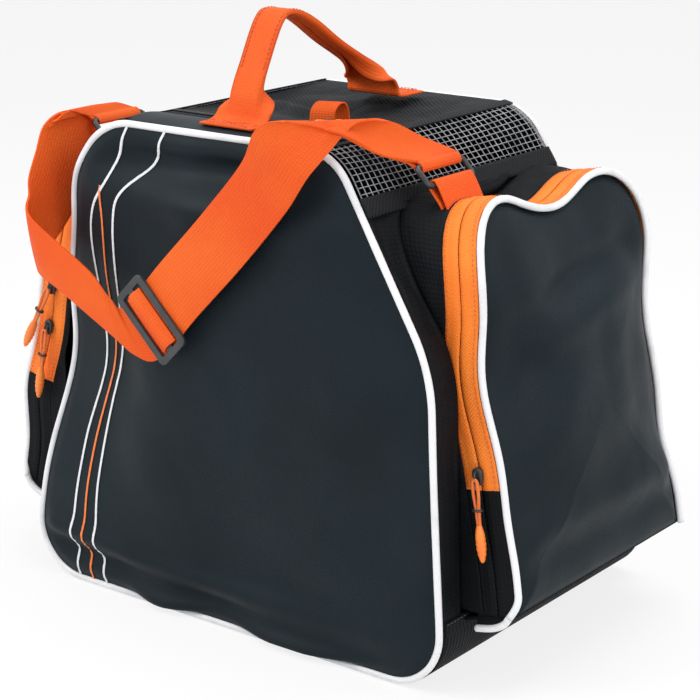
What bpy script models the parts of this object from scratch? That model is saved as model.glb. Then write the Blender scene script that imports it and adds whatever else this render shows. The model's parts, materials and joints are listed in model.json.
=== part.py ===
"""Ski boot bag: a soft black bag with a bell-shaped front and back, net shoulders, a boot compartment
at each end behind a zipped door, a webbing carry handle and a webbing shoulder strap.

Frame: metres, +Z up, origin on the ground under the middle of the base, front panel facing -Y.
"""

import math

import bmesh
import bpy
from mathutils import Matrix, Vector

# Driving dimensions
BASE_HALF = 0.205          # half the width of the front panel at its foot
SHOULDER_HALF = 0.197      # half the width where the upright sides end
SHOULDER_Z = 0.245
TOP_HALF = 0.108           # half the width of the top
TOP_Z = 0.392
FOOT_RADIUS = 0.045
SHOULDER_RADIUS = 0.120
TOP_RADIUS = 0.045
FRONT_Y = -0.150
BACK_Y = 0.150             # back panel at the ground
BACK_TOP_Y = 0.100         # back panel at the top: it leans forward
CLOTH = 0.003              # padded cloth wall
GAP = 0.0004               # seam clearance between sewn pieces
PIPING_R = 0.0035
PANEL_BULGE = 0.010        # how far the front and back panels belly out
BASE_LIP_Z = 0.050         # top edge of the base tray
BOARD_THICK = 0.003        # stiffener in the base
BOARD_MARGIN = 0.012       # between the stiffener and the walls around it
DIVIDER_X = 0.112          # wall between the middle and each boot compartment
NET_STAND = 0.003          # lower edge of the net on a shoulder, above the head of a door
NET_ACROSS = 17            # gaps of the net from front to back
NET_DOWN = 7               # gaps of the net down the slope
NET_CORD = 0.0024

DOOR_FOOT_STAND = 0.043    # foot of a door, where it hinges, out from the base
DOOR_HEAD_STAND = 0.0018   # head of a door, out from the shoulder
DOOR_Z = 0.065
DOOR_HEIGHT = 0.284
DOOR_FRONT_U = -0.120
DOOR_BACK_U = 0.122
DOOR_BACK_TOP_U = 0.098
DOOR_RADIUS = 0.062
DOOR_BULGE = 0.024
TAPE_WIDTH = 0.0138        # each half of a zip tape
TAPE_THICK = 0.0016
COLLAR_DEPTH = 0.005       # how far a zip collar reaches in past the end wall

WEBBING = 0.050            # strap webbing
WEBBING_THICK = 0.0018
HANDLE_GRIP = 0.027        # handle webbing, folded in half
HANDLE_GRIP_THICK = 0.0040
HANDLE_NECK = 0.010        # where the handle gathers at its ends
HANDLE_RISE = 0.076
HANDLE_PATCH = 0.036       # sewn-down length of each handle end
HANDLE_FRONT_Y = -0.108
HANDLE_PEAK_Y = -0.076
HANDLE_BACK_Y = 0.042

SLIDER = (0.0085, 0.0130, 0.0050)   # zip slider: width, length, height
PULL_CORD_R = 0.0015
PULL_CORD_LENGTH = 0.034
PULL_GRIP_LENGTH = 0.026
TOP_PULL_SHARE = 0.45      # the top zip's pull against the others
PULL_GRIP_R = 0.0042
FRONT_SLIDERS = (                   # side, name, place up the zip, lean of the hanging pull
    (1, "right_front", 0.105, math.radians(8)),
    (-1, "left_upper", 0.178, math.radians(-29)),
    (-1, "left_lower", 0.142, math.radians(-10)),
)
BACK_SLIDER = 0.105        # place of the right door's back slider up its zip
BACK_PULL_LEAN = math.radians(8)
TOP_ZIP_Y = -0.098
TOP_ZIP_HALF = 0.078
TOP_SLIDER_X = 0.052
TAB_LENGTH = 0.016         # folded webbing tab at the end of the top zip
TAB_WIDTH = 0.014
TAB_X = 0.012
TAB_Y = -0.030
RING_WIRE = 0.0042
RING_DEPTH = 0.017         # ring opening across the webbing
RING_CLEAR = 0.003         # ring opening past the webbing's edge
RING_LEAN = (-0.70, 0.0, 0.72)
ADJUSTER_BAR = 0.0045
ADJUSTER_SLOT = 0.0095
ANCHOR_U = -0.075          # strap anchors, along the top of a door's collar
ANCHOR_SEAT = 0.004        # anchor foot behind the zip
ANCHOR_RISE = 0.020
STRAP_ROUTE_SHARES = (     # middle of the strap in shares of half width, half depth and height; way across
    ((0.649, -0.640, 0.990), (0.05, 1.00, 0.10)),
    ((0.568, -0.827, 1.033), (0.30, 1.00, 0.05)),
    ((0.497, -1.013, 1.046), (0.65, 0.80, -0.10)),
    ((0.421, -1.153, 1.000), (0.85, 0.30, -0.55)),
    ((0.314, -1.147, 0.923), (0.75, 0.00, -0.66)),
    ((0.122, -1.147, 0.816), (0.73, 0.00, -0.68)),
    ((-0.102, -1.147, 0.702), (0.73, 0.00, -0.68)),
    ((-0.294, -1.147, 0.602), (0.73, 0.00, -0.68)),
    ((-0.381, -1.167, 0.607), (0.55, 0.00, -0.84)),
    ((-0.497, -1.180, 0.648), (0.40, 0.00, -0.92)),
    ((-0.766, -1.173, 0.714), (0.36, 0.00, -0.93)),
    ((-0.863, -1.147, 0.730), (0.22, 0.05, -0.97)),
    ((-0.929, -1.087, 0.742), (0.05, 0.15, -0.98)),
    ((-0.949, -1.000, 0.768), (0.02, 0.40, -0.92)),
    ((-0.934, -0.933, 0.816), (0.20, 0.70, -0.69)),
    ((-0.914, -0.860, 0.880), (0.30, 0.85, -0.43)),
    ((-0.919, -0.780, 0.949), (0.20, 0.96, -0.17)),
    ((-0.914, -0.653, 0.982), (0.05, 1.00, 0.00)),
)
ADJUSTER_SHARES = (-0.233, -1.147, 0.633)

ARC_STEPS = 6
DOOR_X = BASE_HALF + DOOR_FOOT_STAND
NET_FOOT_Z = DOOR_Z + DOOR_HEIGHT + NET_STAND
DOOR_TILT = math.asin((DOOR_X - SHOULDER_HALF - DOOR_HEAD_STAND) / DOOR_HEIGHT)

BLACK = (0.018, 0.020, 0.023, 1.0)
BASE_BLACK = (0.012, 0.012, 0.013, 1.0)
ORANGE = (0.950, 0.150, 0.020, 1.0)
WHITE = (0.850, 0.850, 0.870, 1.0)
METAL_BLACK = (0.030, 0.030, 0.034, 1.0)
NET_GREY = (0.110, 0.115, 0.120, 1.0)


# Scene set-up

def clear_scene():
    for found in list(bpy.data.objects):
        bpy.data.objects.remove(found)


def material(name, colour, roughness, metallic=0.0):
    made = bpy.data.materials.new(name)
    made.use_nodes = True
    shader = made.node_tree.nodes["Principled BSDF"]
    shader.inputs["Base Color"].default_value = colour
    shader.inputs["Roughness"].default_value = roughness
    shader.inputs["Metallic"].default_value = metallic
    return made


def adopt(made, finish, pivot=None, parent=None):
    """Puts an object in the bag's collection, with its material and its origin on its pivot."""
    if pivot is not None:
        made.data.transform(Matrix.Translation(-Vector(pivot)))
        made.location = pivot
    made.data.materials.append(finish)
    BAG.objects.link(made)
    if parent is not None:
        made.parent = parent
        made.matrix_parent_inverse = parent.matrix_world.inverted()
    return made


def joint_empty(name, place):
    made = bpy.data.objects.new(name, None)
    made.location = place
    made.empty_display_size = 0.02
    BAG.objects.link(made)
    bpy.context.view_layer.update()
    return made


# Outlines

def rounded(corners, radii, closed):
    """Points along a polygon whose corners are arcs of the given radii."""
    points = []
    count = len(corners)
    for i, (corner, radius) in enumerate(zip(corners, radii)):
        here = Vector(corner)
        if radius == 0 or (not closed and i in (0, count - 1)):
            points.append(here)
            continue
        before = (Vector(corners[i - 1]) - here).normalized()
        after = (Vector(corners[(i + 1) % count]) - here).normalized()
        half = before.angle(after) / 2
        reach = radius / math.tan(half)
        centre = here + (before + after).normalized() * radius / math.sin(half)
        start = here + before * reach - centre
        end = here + after * reach - centre
        turn = start.angle_signed(end)
        for step in range(ARC_STEPS + 1):
            angle = -turn * step / ARC_STEPS
            points.append(centre + Matrix.Rotation(angle, 2) @ start)
    return points


def inset(points, amount, closed):
    """The outline moved to the left of its own direction."""
    moved = []
    count = len(points)
    for i, point in enumerate(points):
        last = points[i - 1] if closed or i else point
        following = points[(i + 1) % count] if closed or i < count - 1 else point
        along = (following - last).normalized()
        moved.append(point + Vector((-along.y, along.x)) * amount)
    return moved


def bell(amount):
    """The bell outline of the body, in (x, z), anticlockwise from the front, drawn in by an amount."""
    right = [(BASE_HALF, 0.0), (SHOULDER_HALF, SHOULDER_Z), (TOP_HALF, TOP_Z)]
    radii = [FOOT_RADIUS, SHOULDER_RADIUS, TOP_RADIUS]
    corners = right + [(-x, z) for x, z in reversed(right)]
    return inset(rounded(corners, radii + radii[::-1], True), amount, True)


def bell_right(amount, low, high):
    """The stretch of the bell on the right between two heights, upwards, ending square on them."""
    half = [p for p in bell(amount) if p.x > 0]
    ends = [at_height(half, z) for z in (low, high)]
    return [ends[0]] + [p for p in half if low + GAP < p.y < high - GAP] + [ends[1]]


def at_height(points, height):
    for low, high in zip(points, points[1:]):
        if low.y <= height <= high.y and high.y > low.y:
            return low.lerp(high, (height - low.y) / (high.y - low.y))
    return points[-1] if height > points[-1].y else points[0]


def back_y(z):
    """Where the back panel's outer face is at a height."""
    return BACK_Y + (BACK_TOP_Y - BACK_Y) * z / TOP_Z


def door_outline(amount):
    """The arch of a door in its own (u, v): from its front foot, over the top, to its back foot."""
    corners = [(DOOR_FRONT_U, 0.0), (DOOR_FRONT_U, DOOR_HEIGHT)]
    corners += [(DOOR_BACK_TOP_U, DOOR_HEIGHT), (DOOR_BACK_U, 0.0)]
    return inset(rounded(corners, [0, DOOR_RADIUS, DOOR_RADIUS, 0], False), -amount, False)


def on_door(side, u, v, w):
    """A point given along, up and out of a door's plane. side is 1 on the right and -1 on the left."""
    out = DOOR_X + w * math.cos(DOOR_TILT) - v * math.sin(DOOR_TILT)
    return Vector((side * out, u, DOOR_Z + v * math.cos(DOOR_TILT) + w * math.sin(DOOR_TILT)))


# Shapes

def loft(name, rows, closed=False):
    """A mesh of quads between rows of points; closed rows join their last point to their first."""
    shape = bmesh.new()
    made = [[shape.verts.new(p) for p in row] for row in rows]
    for low, high in zip(made, made[1:]):
        for i in range(len(low) - (not closed)):
            j = (i + 1) % len(low)
            shape.faces.new((low[i], low[j], high[j], high[i]))
    if closed:
        shape.faces.new(made[-1])
    bmesh.ops.recalc_face_normals(shape, faces=shape.faces)
    mesh = bpy.data.meshes.new(name)
    shape.to_mesh(mesh)
    shape.free()
    return bpy.data.objects.new(name, mesh)


def thicken(made, thickness, even=True):
    wall = made.modifiers.new("wall", "SOLIDIFY")
    wall.thickness = thickness
    wall.offset = 0.0
    wall.use_even_offset = even
    return made


def wall(name, path, finish, front=None, back=None):
    """A cloth wall along a path in (x, z), from the front seam to the back one or between two depths."""
    seam = 2 * PIPING_R + GAP
    first = FRONT_Y + seam if front is None else front
    rows = [
        [Vector((p.x, first, p.y)) for p in path],
        [Vector((p.x, back_y(p.y) - seam if back is None else back, p.y)) for p in path],
    ]
    return adopt(thicken(loft(name, rows), CLOTH), finish)


def dome(name, rim, lift, bulge, place, finish, pivot=None, parent=None):
    """A padded panel inside a rim outline, bellied out; place turns (a, b, out) into a point."""
    middle = sum(rim, Vector((0, 0))) / len(rim)
    rows = []
    for share in (1.0, 0.86, 0.66, 0.40):
        out = lift + bulge * (1 - share ** 2)
        rows.append([place(*middle.lerp(p, share), out) for p in rim])
    return adopt(thicken(loft(name, rows, True), CLOTH), finish, pivot, parent)


def tube(name, points, radius, finish, cyclic=False, pivot=None, parent=None, sides=1):
    """A cord, wire or piping along points."""
    curve = bpy.data.curves.new(name, "CURVE")
    curve.dimensions = "3D"
    curve.bevel_depth = radius
    curve.bevel_resolution = sides
    curve.use_fill_caps = not cyclic
    line = curve.splines.new("POLY")
    line.points.add(len(points) - 1)
    for slot, point in zip(line.points, points):
        slot.co = (*point, 1.0)
    line.use_cyclic_u = cyclic
    return adopt(bpy.data.objects.new(name, curve), finish, pivot, parent)


def ribbon(name, stations, thickness, finish, pivot=None, parent=None):
    """Webbing through stations of (middle, direction across it, width)."""
    rows = []
    for middle, across, width in stations:
        half = Vector(across).normalized() * width / 2
        rows.append([Vector(middle) - half, Vector(middle) + half])
    return adopt(thicken(loft(name, rows), thickness, even=False), finish, pivot, parent)


def block(name, size, place, finish, turn=None, bevel=0.0, pivot=None, parent=None):
    """A box with rounded edges, turned by a rotation matrix."""
    shape = bmesh.new()
    bmesh.ops.create_cube(shape, size=1.0)
    bmesh.ops.scale(shape, vec=size, verts=shape.verts)
    if turn is not None:
        bmesh.ops.transform(shape, matrix=turn, verts=shape.verts)
    bmesh.ops.translate(shape, vec=place, verts=shape.verts)
    mesh = bpy.data.meshes.new(name)
    shape.to_mesh(mesh)
    shape.free()
    made = adopt(bpy.data.objects.new(name, mesh), finish, pivot, parent)
    if bevel:
        edge = made.modifiers.new("edges", "BEVEL")
        edge.width = bevel
        edge.segments = 1
    return made


# Body of the bag

def build_body():
    build_panel("front", lambda x, z, out: Vector((x, FRONT_Y + CLOTH / 2 - out, z)))
    build_panel("back", lambda x, z, out: Vector((x, back_y(z) - CLOTH / 2 + out, z)))
    middle = CLOTH / 2
    base = [p for p in bell(middle) if p.y < BASE_LIP_Z - GAP]
    lip = at_height([p for p in bell(middle) if p.x > 0], BASE_LIP_Z - GAP)
    left = [Vector((-lip.x, lip.y))] + sorted((p for p in base if p.x < 0), key=lambda p: p.x)
    right = sorted((p for p in base if p.x > 0), key=lambda p: p.x) + [lip]
    wall("base_tray", left + right, BASE_CLOTH)
    board = (2 * (BASE_HALF - FOOT_RADIUS) - BOARD_MARGIN, BACK_Y - FRONT_Y - 4 * BOARD_MARGIN, BOARD_THICK)
    block("base_stiffener_board", board, (0, 0, CLOTH + GAP + BOARD_THICK / 2), BOARD)
    build_top()
    for side, word in ((1, "right"), (-1, "left")):
        build_shoulder(side, word)
        build_divider(side, word)


def build_panel(word, place):
    """A bell-shaped panel and the piping sewn round it."""
    inner = bell(2 * PIPING_R + GAP)
    dome(f"{word}_panel", inner, 0.0, PANEL_BULGE, place, BLACK_CLOTH)
    cord = [place(p.x, p.y, CLOTH / 2 - PIPING_R) for p in bell(PIPING_R)]
    tube(f"{word}_panel_piping", cord, PIPING_R, WHITE_PIPING, cyclic=True)


def net_path():
    """A shoulder's net in (x, z), from its foot up the slope and round the corner to the flat top."""
    half = [p for p in bell(CLOTH / 2) if p.x > 0]
    line = [at_height(half, NET_FOOT_Z)] + [p for p in half if p.y > NET_FOOT_Z + GAP]
    runs = [(b - a).length for a, b in zip(line, line[1:])]
    path = []
    for i in range(NET_DOWN + 1):
        left = sum(runs) * i / NET_DOWN
        step = 0
        while step < len(runs) - 1 and left > runs[step]:
            left -= runs[step]
            step += 1
        path.append(line[step].lerp(line[step + 1], left / runs[step]))
    return path


def build_top():
    """The crown of the bag: a front strip and a back panel with the top zip between them."""
    end = net_path()[-1] - Vector((NET_CORD + GAP, 0))
    crown = [Vector((end.x * share, end.y)) for share in (1, 0.5, 0, -0.5, -1)]
    tape_edge = TAPE_WIDTH / 2 + GAP
    wall("top_front_strip", crown, BLACK_CLOTH, back=TOP_ZIP_Y - tape_edge)
    wall("top_panel", crown, RIB_CLOTH, front=TOP_ZIP_Y + tape_edge)
    size = (2 * TOP_ZIP_HALF, TAPE_WIDTH, TAPE_THICK)
    block("top_zip_tape", size, (0, TOP_ZIP_Y, end.y), ZIP_BLACK)
    tab = (TAB_WIDTH, TAB_LENGTH, 2 * WEBBING_THICK)
    above = end.y + CLOTH / 2 + WEBBING_THICK + GAP
    block("top_zip_tab", tab, (TAB_X, TAB_Y, above), WEB)


def build_shoulder(side, word):
    """The net on a shoulder, and the end wall below it with the arched mouth of the boot compartment."""
    seam = 2 * PIPING_R + 2 * GAP + NET_CORD
    rows = []
    for here in net_path():
        first, last = FRONT_Y + seam, back_y(here.y) - seam
        steps = [first + (last - first) * k / NET_ACROSS for k in range(NET_ACROSS + 1)]
        rows.append([Vector((side * here.x, y, here.y)) for y in steps])
    net = adopt(loft(f"{word}_net_panel", rows), NET)
    cords = net.modifiers.new("cords", "WIREFRAME")
    cords.thickness = NET_CORD
    cords.use_boundary = True
    cords.use_even_offset = False
    build_end_wall(side, word)


def build_end_wall(side, word):
    """The cloth round a boot compartment's mouth, from the arch out to the seams."""
    profile = [p for p in bell(CLOTH / 2) if p.x > 0]
    seam = 2 * PIPING_R + GAP
    top = NET_FOOT_Z - NET_CORD - GAP
    level = DOOR_Z + (DOOR_HEIGHT - DOOR_RADIUS) * math.cos(DOOR_TILT)
    rows = [[], [], []]
    for p in door_outline(-CLOTH):
        height = on_door(1, p.x, p.y, -2 * TAPE_WIDTH).z if p.y else BASE_LIP_Z
        mouth = Vector((p.x, min(height, top - CLOTH)))
        core_y = min(max(p.x, DOOR_FRONT_U + DOOR_RADIUS), DOOR_BACK_TOP_U - DOOR_RADIUS)
        core = Vector((core_y, min(mouth.y, level)))
        ray = mouth - core
        ray /= max(abs(ray.x), abs(ray.y))
        rim_z = core.y + ray.y * (top - core.y)
        edge = FRONT_Y + seam if ray.x < 0 else back_y(rim_z) - seam
        rim = Vector((core.x + abs(ray.x) * (edge - core.x), rim_z))
        for row, share in zip(rows, (0.0, 0.5, 1.0)):
            at = mouth.lerp(rim, share)
            row.append(Vector((side * at_height(profile, at.y).x, at.x, at.y)))
    adopt(thicken(loft(f"{word}_end_wall", rows), CLOTH), DOBBY_CLOTH)


def build_divider(side, word):
    """The inner wall between the middle compartment and a boot compartment."""
    low = CLOTH + BOARD_THICK + 2 * GAP
    high = NET_FOOT_Z - CLOTH
    path = [Vector((side * DIVIDER_X, z)) for z in (low, (low + high) / 2, high)]
    wall(f"{word}_divider", path, LINING)


# Boot compartments

def arch_band(name, side, depth_from, depth_to, thickness, finish, pivot=None, parent=None):
    """A band that follows a door's arch, between two depths from the door's plane."""
    arch = door_outline(thickness / 2)
    rows = [[on_door(side, p.x, p.y, w) for p in arch] for w in (depth_from, depth_to)]
    return adopt(thicken(loft(name, rows), thickness), finish, pivot, parent)


def build_compartment(side, word):
    hinge = on_door(side, 0.0, 0.0, 0.0)
    door = joint_empty(f"{word}_door_hinge", hinge)
    arch_band(f"{word}_door_zip_tape", side, -TAPE_WIDTH, 0.0, TAPE_THICK, ZIP_ORANGE, hinge, door)
    seat = -TAPE_WIDTH - GAP
    arch_band(f"{word}_bag_zip_tape", side, seat - TAPE_WIDTH, seat, TAPE_THICK, ZIP_ORANGE)
    build_collar(side, word, seat - TAPE_WIDTH - GAP)
    build_door(side, word, hinge, door)
    build_sill(side, word)


def build_collar(side, word, edge):
    """The cloth tunnel that carries the zip, from its edge in through the mouth of the end wall."""
    profile = [p for p in bell(CLOTH) if p.x > 0]
    rows = [[], []]
    for p in door_outline(CLOTH / 2):
        outer = on_door(1, p.x, p.y, edge)
        inner = min(at_height(profile, outer.z).x, outer.x) - COLLAR_DEPTH
        rows[0].append(Vector((side * inner, outer.y, outer.z)))
        rows[1].append(Vector((side * outer.x, outer.y, outer.z)))
    adopt(thicken(loft(f"{word}_compartment_collar", rows), CLOTH), DOBBY_CLOTH)


def build_door(side, word, hinge, door):
    """The bulging door panel and the piping round its arch."""
    rise = PIPING_R + GAP
    arch = door_outline(PIPING_R)
    cord = [on_door(side, p.x, p.y, rise) for p in arch]
    tube(f"{word}_door_piping", cord, PIPING_R, WHITE_PIPING, pivot=hinge, parent=door)
    inner = door_outline(2 * PIPING_R + 4 * GAP)
    foot = [inner[-1].lerp(inner[0], i / 6) for i in range(1, 6)]
    panel = inner + foot
    dome(
        f"{word}_door_panel", panel, CLOTH, DOOR_BULGE,
        lambda u, v, out: on_door(side, u, v, out), BLACK_CLOTH, hinge, door,
    )


def build_sill(side, word):
    """The floor of a boot compartment, from the base tray out to the foot of its door."""
    lip = at_height(bell_right(CLOTH / 2, 0.0, SHOULDER_Z), BASE_LIP_Z + CLOTH)
    outer = on_door(side, 0.0, 0.0, 0.0) - Vector((side * CLOTH, 0, CLOTH))
    path = [Vector((side * (lip.x + CLOTH), lip.y - CLOTH)), Vector((outer.x, outer.z))]
    wall(
        f"{word}_compartment_sill", path, BASE_CLOTH,
        front=DOOR_FRONT_U + 2 * CLOTH, back=DOOR_BACK_U - 2 * CLOTH,
    )


# Zip sliders and pulls

def build_slider(name, place, along, out, hang, share=1.0):
    """A slider on a zip's face: along is the zip's run, out the way its face looks, hang the pull's way."""
    along, out, hang = (Vector(v).normalized() for v in (along, out, hang))
    across = along.cross(out)
    turn = Matrix((across, along, out)).transposed().to_4x4()
    seat = Vector(place) + out * (SLIDER[2] / 2 + GAP)
    run = joint_empty(f"{name}_run", seat)
    block(f"{name}_slider", SLIDER, seat, DARK_METAL, turn, 0.0012, seat, run)
    hang = (hang - out * hang.dot(out)).normalized()
    build_pull(name, seat + out * (SLIDER[2] / 2 + PULL_CORD_R + GAP), hang, hang.cross(out), run, share)


def build_pull(name, pin, hang, across, run, share):
    """The cord loop and moulded grip that hang from a slider, turning about its bail."""
    swing = joint_empty(f"{name}_pull_pivot", pin)
    swing.parent = run
    swing.matrix_parent_inverse = run.matrix_world.inverted()
    bpy.context.view_layer.update()
    half = 2 * PULL_CORD_R
    length = PULL_CORD_LENGTH * share
    grip = PULL_GRIP_LENGTH * share
    left = [pin + hang * length * s - across * half * (1 - s) ** 0.5 for s in (1.0, 0.7, 0.4, 0.12)]
    right = [pin + hang * length * s + across * half * (1 - s) ** 0.5 for s in (0.12, 0.4, 0.7)]
    tube(f"{name}_pull_cord", left + [pin] + right, PULL_CORD_R, CORD, True, pin, swing)
    middle = pin + hang * (length + PULL_CORD_R + GAP + grip / 2)
    shape = bmesh.new()
    bmesh.ops.create_uvsphere(shape, u_segments=8, v_segments=6, radius=1.0)
    bmesh.ops.scale(shape, vec=(PULL_GRIP_R, PULL_GRIP_R, grip / 2), verts=shape.verts)
    bmesh.ops.transform(shape, matrix=hang.to_track_quat("Z", "Y").to_matrix().to_4x4(), verts=shape.verts)
    bmesh.ops.translate(shape, vec=middle, verts=shape.verts)
    mesh = bpy.data.meshes.new(name)
    shape.to_mesh(mesh)
    shape.free()
    mesh.shade_smooth()
    adopt(bpy.data.objects.new(f"{name}_pull_grip", mesh), GRIP, pin, swing)


def build_zips():
    middle = -TAPE_WIDTH
    for side, name, v, lean in FRONT_SLIDERS:
        up = on_door(side, 0, 1, 0) - on_door(side, 0, 0, 0)
        face = on_door(side, DOOR_FRONT_U, v, middle)
        build_slider(name, face, up, (0, -1, 0), (math.sin(lean), 0, -math.cos(lean)))
    slant = (DOOR_BACK_TOP_U - DOOR_BACK_U) / DOOR_HEIGHT
    up = on_door(1, slant, 1, 0) - on_door(1, 0, 0, 0)
    out = Vector((0, 1, 0)) - up * up.y / up.length_squared
    face = on_door(1, DOOR_BACK_U + slant * (BACK_SLIDER - SLIDER[1]), BACK_SLIDER, middle)
    hang = Vector((math.sin(BACK_PULL_LEAN), 0, -math.cos(BACK_PULL_LEAN)))
    build_slider("right_back", face, up, out, hang)
    crown = TOP_Z - CLOTH / 2 + TAPE_THICK / 2
    place = (TOP_SLIDER_X, TOP_ZIP_Y, crown)
    build_slider("top", place, (1, 0, 0), (0, 0, 1), (1, 0, 0), TOP_PULL_SHARE)


# Webbing

def build_handle():
    """The carry handle: two sewn-down patches and the loop between them, which folds to either side."""
    level = TOP_Z + GAP + WEBBING_THICK / 2
    for word, near, away in (("front", HANDLE_FRONT_Y, -1), ("back", HANDLE_BACK_Y, 1)):
        size = (WEBBING, HANDLE_PATCH, WEBBING_THICK)
        block(f"handle_{word}_patch", size, (0, near + away * HANDLE_PATCH / 2, level), WEB)
    axis = level + WEBBING_THICK / 2 + HANDLE_NECK / 2
    pivot = Vector((0, (HANDLE_FRONT_Y + HANDLE_BACK_Y) / 2, axis))
    fold = joint_empty("handle_fold", pivot)
    knots = [
        (HANDLE_FRONT_Y, 0.0, HANDLE_NECK), (HANDLE_FRONT_Y - 0.003, 0.18, 0.8 * HANDLE_GRIP),
        (HANDLE_FRONT_Y + 0.004, 0.55, HANDLE_GRIP), (HANDLE_PEAK_Y - 0.010, 0.92, HANDLE_GRIP),
        (HANDLE_PEAK_Y, 1.0, HANDLE_GRIP), (HANDLE_PEAK_Y + 0.016, 0.96, HANDLE_GRIP),
        (HANDLE_BACK_Y - 0.060, 0.66, HANDLE_GRIP), (HANDLE_BACK_Y - 0.020, 0.36, HANDLE_GRIP),
        (HANDLE_BACK_Y - 0.004, 0.22, 0.8 * HANDLE_GRIP), (HANDLE_BACK_Y, 0.0, HANDLE_NECK),
    ]
    stations = [(Vector((0, y, axis + HANDLE_RISE * share)), (1, 0, 0), width) for y, share, width in knots]
    ribbon("carry_handle_loop", stations, HANDLE_GRIP_THICK, WEB, pivot, fold)


def anchor_point(side):
    """Where a strap anchor tab leaves the top of a boot compartment."""
    return on_door(side, ANCHOR_U, DOOR_HEIGHT + GAP, -2 * TAPE_WIDTH - ANCHOR_SEAT)


def ring_place(side):
    return anchor_point(side) + Vector((-side * ANCHOR_RISE / 2, 0, ANCHOR_RISE + RING_WIRE))


def in_shares(place):
    """A point given in shares of the bag's half width at the shoulder, half depth and height."""
    return Vector((place[0] * SHOULDER_HALF, -place[1] * FRONT_Y, place[2] * TOP_Z))


def build_strap():
    """The shoulder strap, hung from a ring on each side and drawn across the front by its adjuster."""
    right, left = ring_place(1), ring_place(-1)
    for side, word in ((1, "right"), (-1, "left")):
        foot = anchor_point(side) + Vector((0, 0, WEBBING_THICK))
        head = ring_place(side) - Vector((0, 0, RING_WIRE))
        tab = [(place, (0, 1, 0), WEBBING) for place in (foot, head)]
        ribbon(f"{word}_strap_anchor", tab, WEBBING_THICK, WEB)
        build_ring(side, word)
    axis = (right + left) / 2
    swing = joint_empty("strap_swing", axis)
    reach = Vector(RING_LEAN).normalized() * (RING_DEPTH + RING_WIRE)
    stations = [(right + reach, (0, 1, 0))]
    stations += [(in_shares(place), across) for place, across in STRAP_ROUTE_SHARES]
    stations.append((left + reach, (0, 1, 0)))
    ribbon("shoulder_strap", [(p, s, WEBBING) for p, s in stations], WEBBING_THICK, WEB, axis, swing)
    along = in_shares(STRAP_ROUTE_SHARES[7][0]) - in_shares(STRAP_ROUTE_SHARES[5][0])
    build_adjuster(in_shares(ADJUSTER_SHARES), along, swing)


def build_ring(side, word):
    """A black rectangular ring that joins a strap end to its anchor."""
    place = ring_place(side)
    half = WEBBING / 2 + RING_CLEAR
    away = Vector(RING_LEAN).normalized()
    corners = [(-half, 0), (half, 0), (half, RING_DEPTH), (-half, RING_DEPTH)]
    outline = rounded(corners, [RING_WIRE] * 4, True)
    points = [place + Vector((0, p.x, 0)) + away * p.y for p in outline]
    pivot = joint_empty(f"{word}_ring_pivot", place)
    tube(f"{word}_strap_ring", points, RING_WIRE / 2, DARK_METAL, True, place, pivot)


def build_adjuster(place, along, swing):
    """A three-bar slide on the strap: a flat frame with two slots, standing on the webbing's outer face."""
    half_wide = WEBBING / 2 + RING_CLEAR + ADJUSTER_BAR
    half_long = ADJUSTER_SLOT + 1.5 * ADJUSTER_BAR
    curve = bpy.data.curves.new("strap_adjuster", "CURVE")
    curve.dimensions = "2D"
    curve.fill_mode = "BOTH"
    curve.extrude = ADJUSTER_BAR / 4
    slot_middle = (ADJUSTER_SLOT + ADJUSTER_BAR) / 2
    boxes = [(0.0, half_wide, half_long, ADJUSTER_BAR)]
    for way in (-1, 1):
        boxes.append((way * slot_middle, half_wide - ADJUSTER_BAR, ADJUSTER_SLOT / 2, ADJUSTER_BAR / 3))
    for middle, wide, long, radius in boxes:
        low, high = middle - long, middle + long
        corners = [(-wide, low), (wide, low), (wide, high), (-wide, high)]
        outline = rounded(corners, [radius] * 4, True)
        line = curve.splines.new("POLY")
        line.points.add(len(outline) - 1)
        for slot, point in zip(line.points, outline):
            slot.co = (point.x, point.y, 0.0, 1.0)
        line.use_cyclic_u = True
    out = Vector((0, -1, 0))
    across = along.cross(out).normalized()
    turn = Matrix((across, along.normalized(), out)).transposed().to_4x4()
    seat = place + out * (WEBBING_THICK / 2 + ADJUSTER_BAR / 4 + GAP)
    run = joint_empty("adjuster_run", seat)
    run.parent = swing
    run.matrix_parent_inverse = swing.matrix_world.inverted()
    bpy.context.view_layer.update()
    made = adopt(bpy.data.objects.new("strap_adjuster", curve), DARK_METAL, parent=run)
    made.matrix_basis = Matrix.Translation(seat) @ turn


clear_scene()
BAG = bpy.data.collections.new("ski_boot_bag")
bpy.context.scene.collection.children.link(BAG)
BLACK_CLOTH = material("black_coated_cloth", BLACK, 0.55)
RIB_CLOTH = material("black_ribbed_cloth", BLACK, 0.75)
DOBBY_CLOTH = material("black_dobby_cloth", BLACK, 0.70)
BASE_CLOTH = material("black_base_cloth", BASE_BLACK, 0.60)
LINING = material("black_lining", BLACK, 0.85)
BOARD = material("stiffener_board", METAL_BLACK, 0.70)
NET = material("net_cord", NET_GREY, 0.60)
WHITE_PIPING = material("white_piping", WHITE, 0.45)
ZIP_ORANGE = material("orange_zip_tape", ORANGE, 0.70)
ZIP_BLACK = material("black_zip_tape", BLACK, 0.70)
WEB = material("orange_webbing", ORANGE, 0.75)
CORD = material("orange_pull_cord", ORANGE, 0.65)
GRIP = material("orange_pull_grip", ORANGE, 0.40)
DARK_METAL = material("black_metal", METAL_BLACK, 0.35, 0.6)

build_body()
for compartment_side, compartment_word in ((1, "right"), (-1, "left")):
    build_compartment(compartment_side, compartment_word)
build_zips()
build_handle()
build_strap()
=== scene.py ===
"""Looks of the ski boot bag: soft cloth panels, piping, zips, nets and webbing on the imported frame."""

import json
import math

import bmesh
import bpy
import numpy as np
from mathutils import Matrix, Vector, noise


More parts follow.
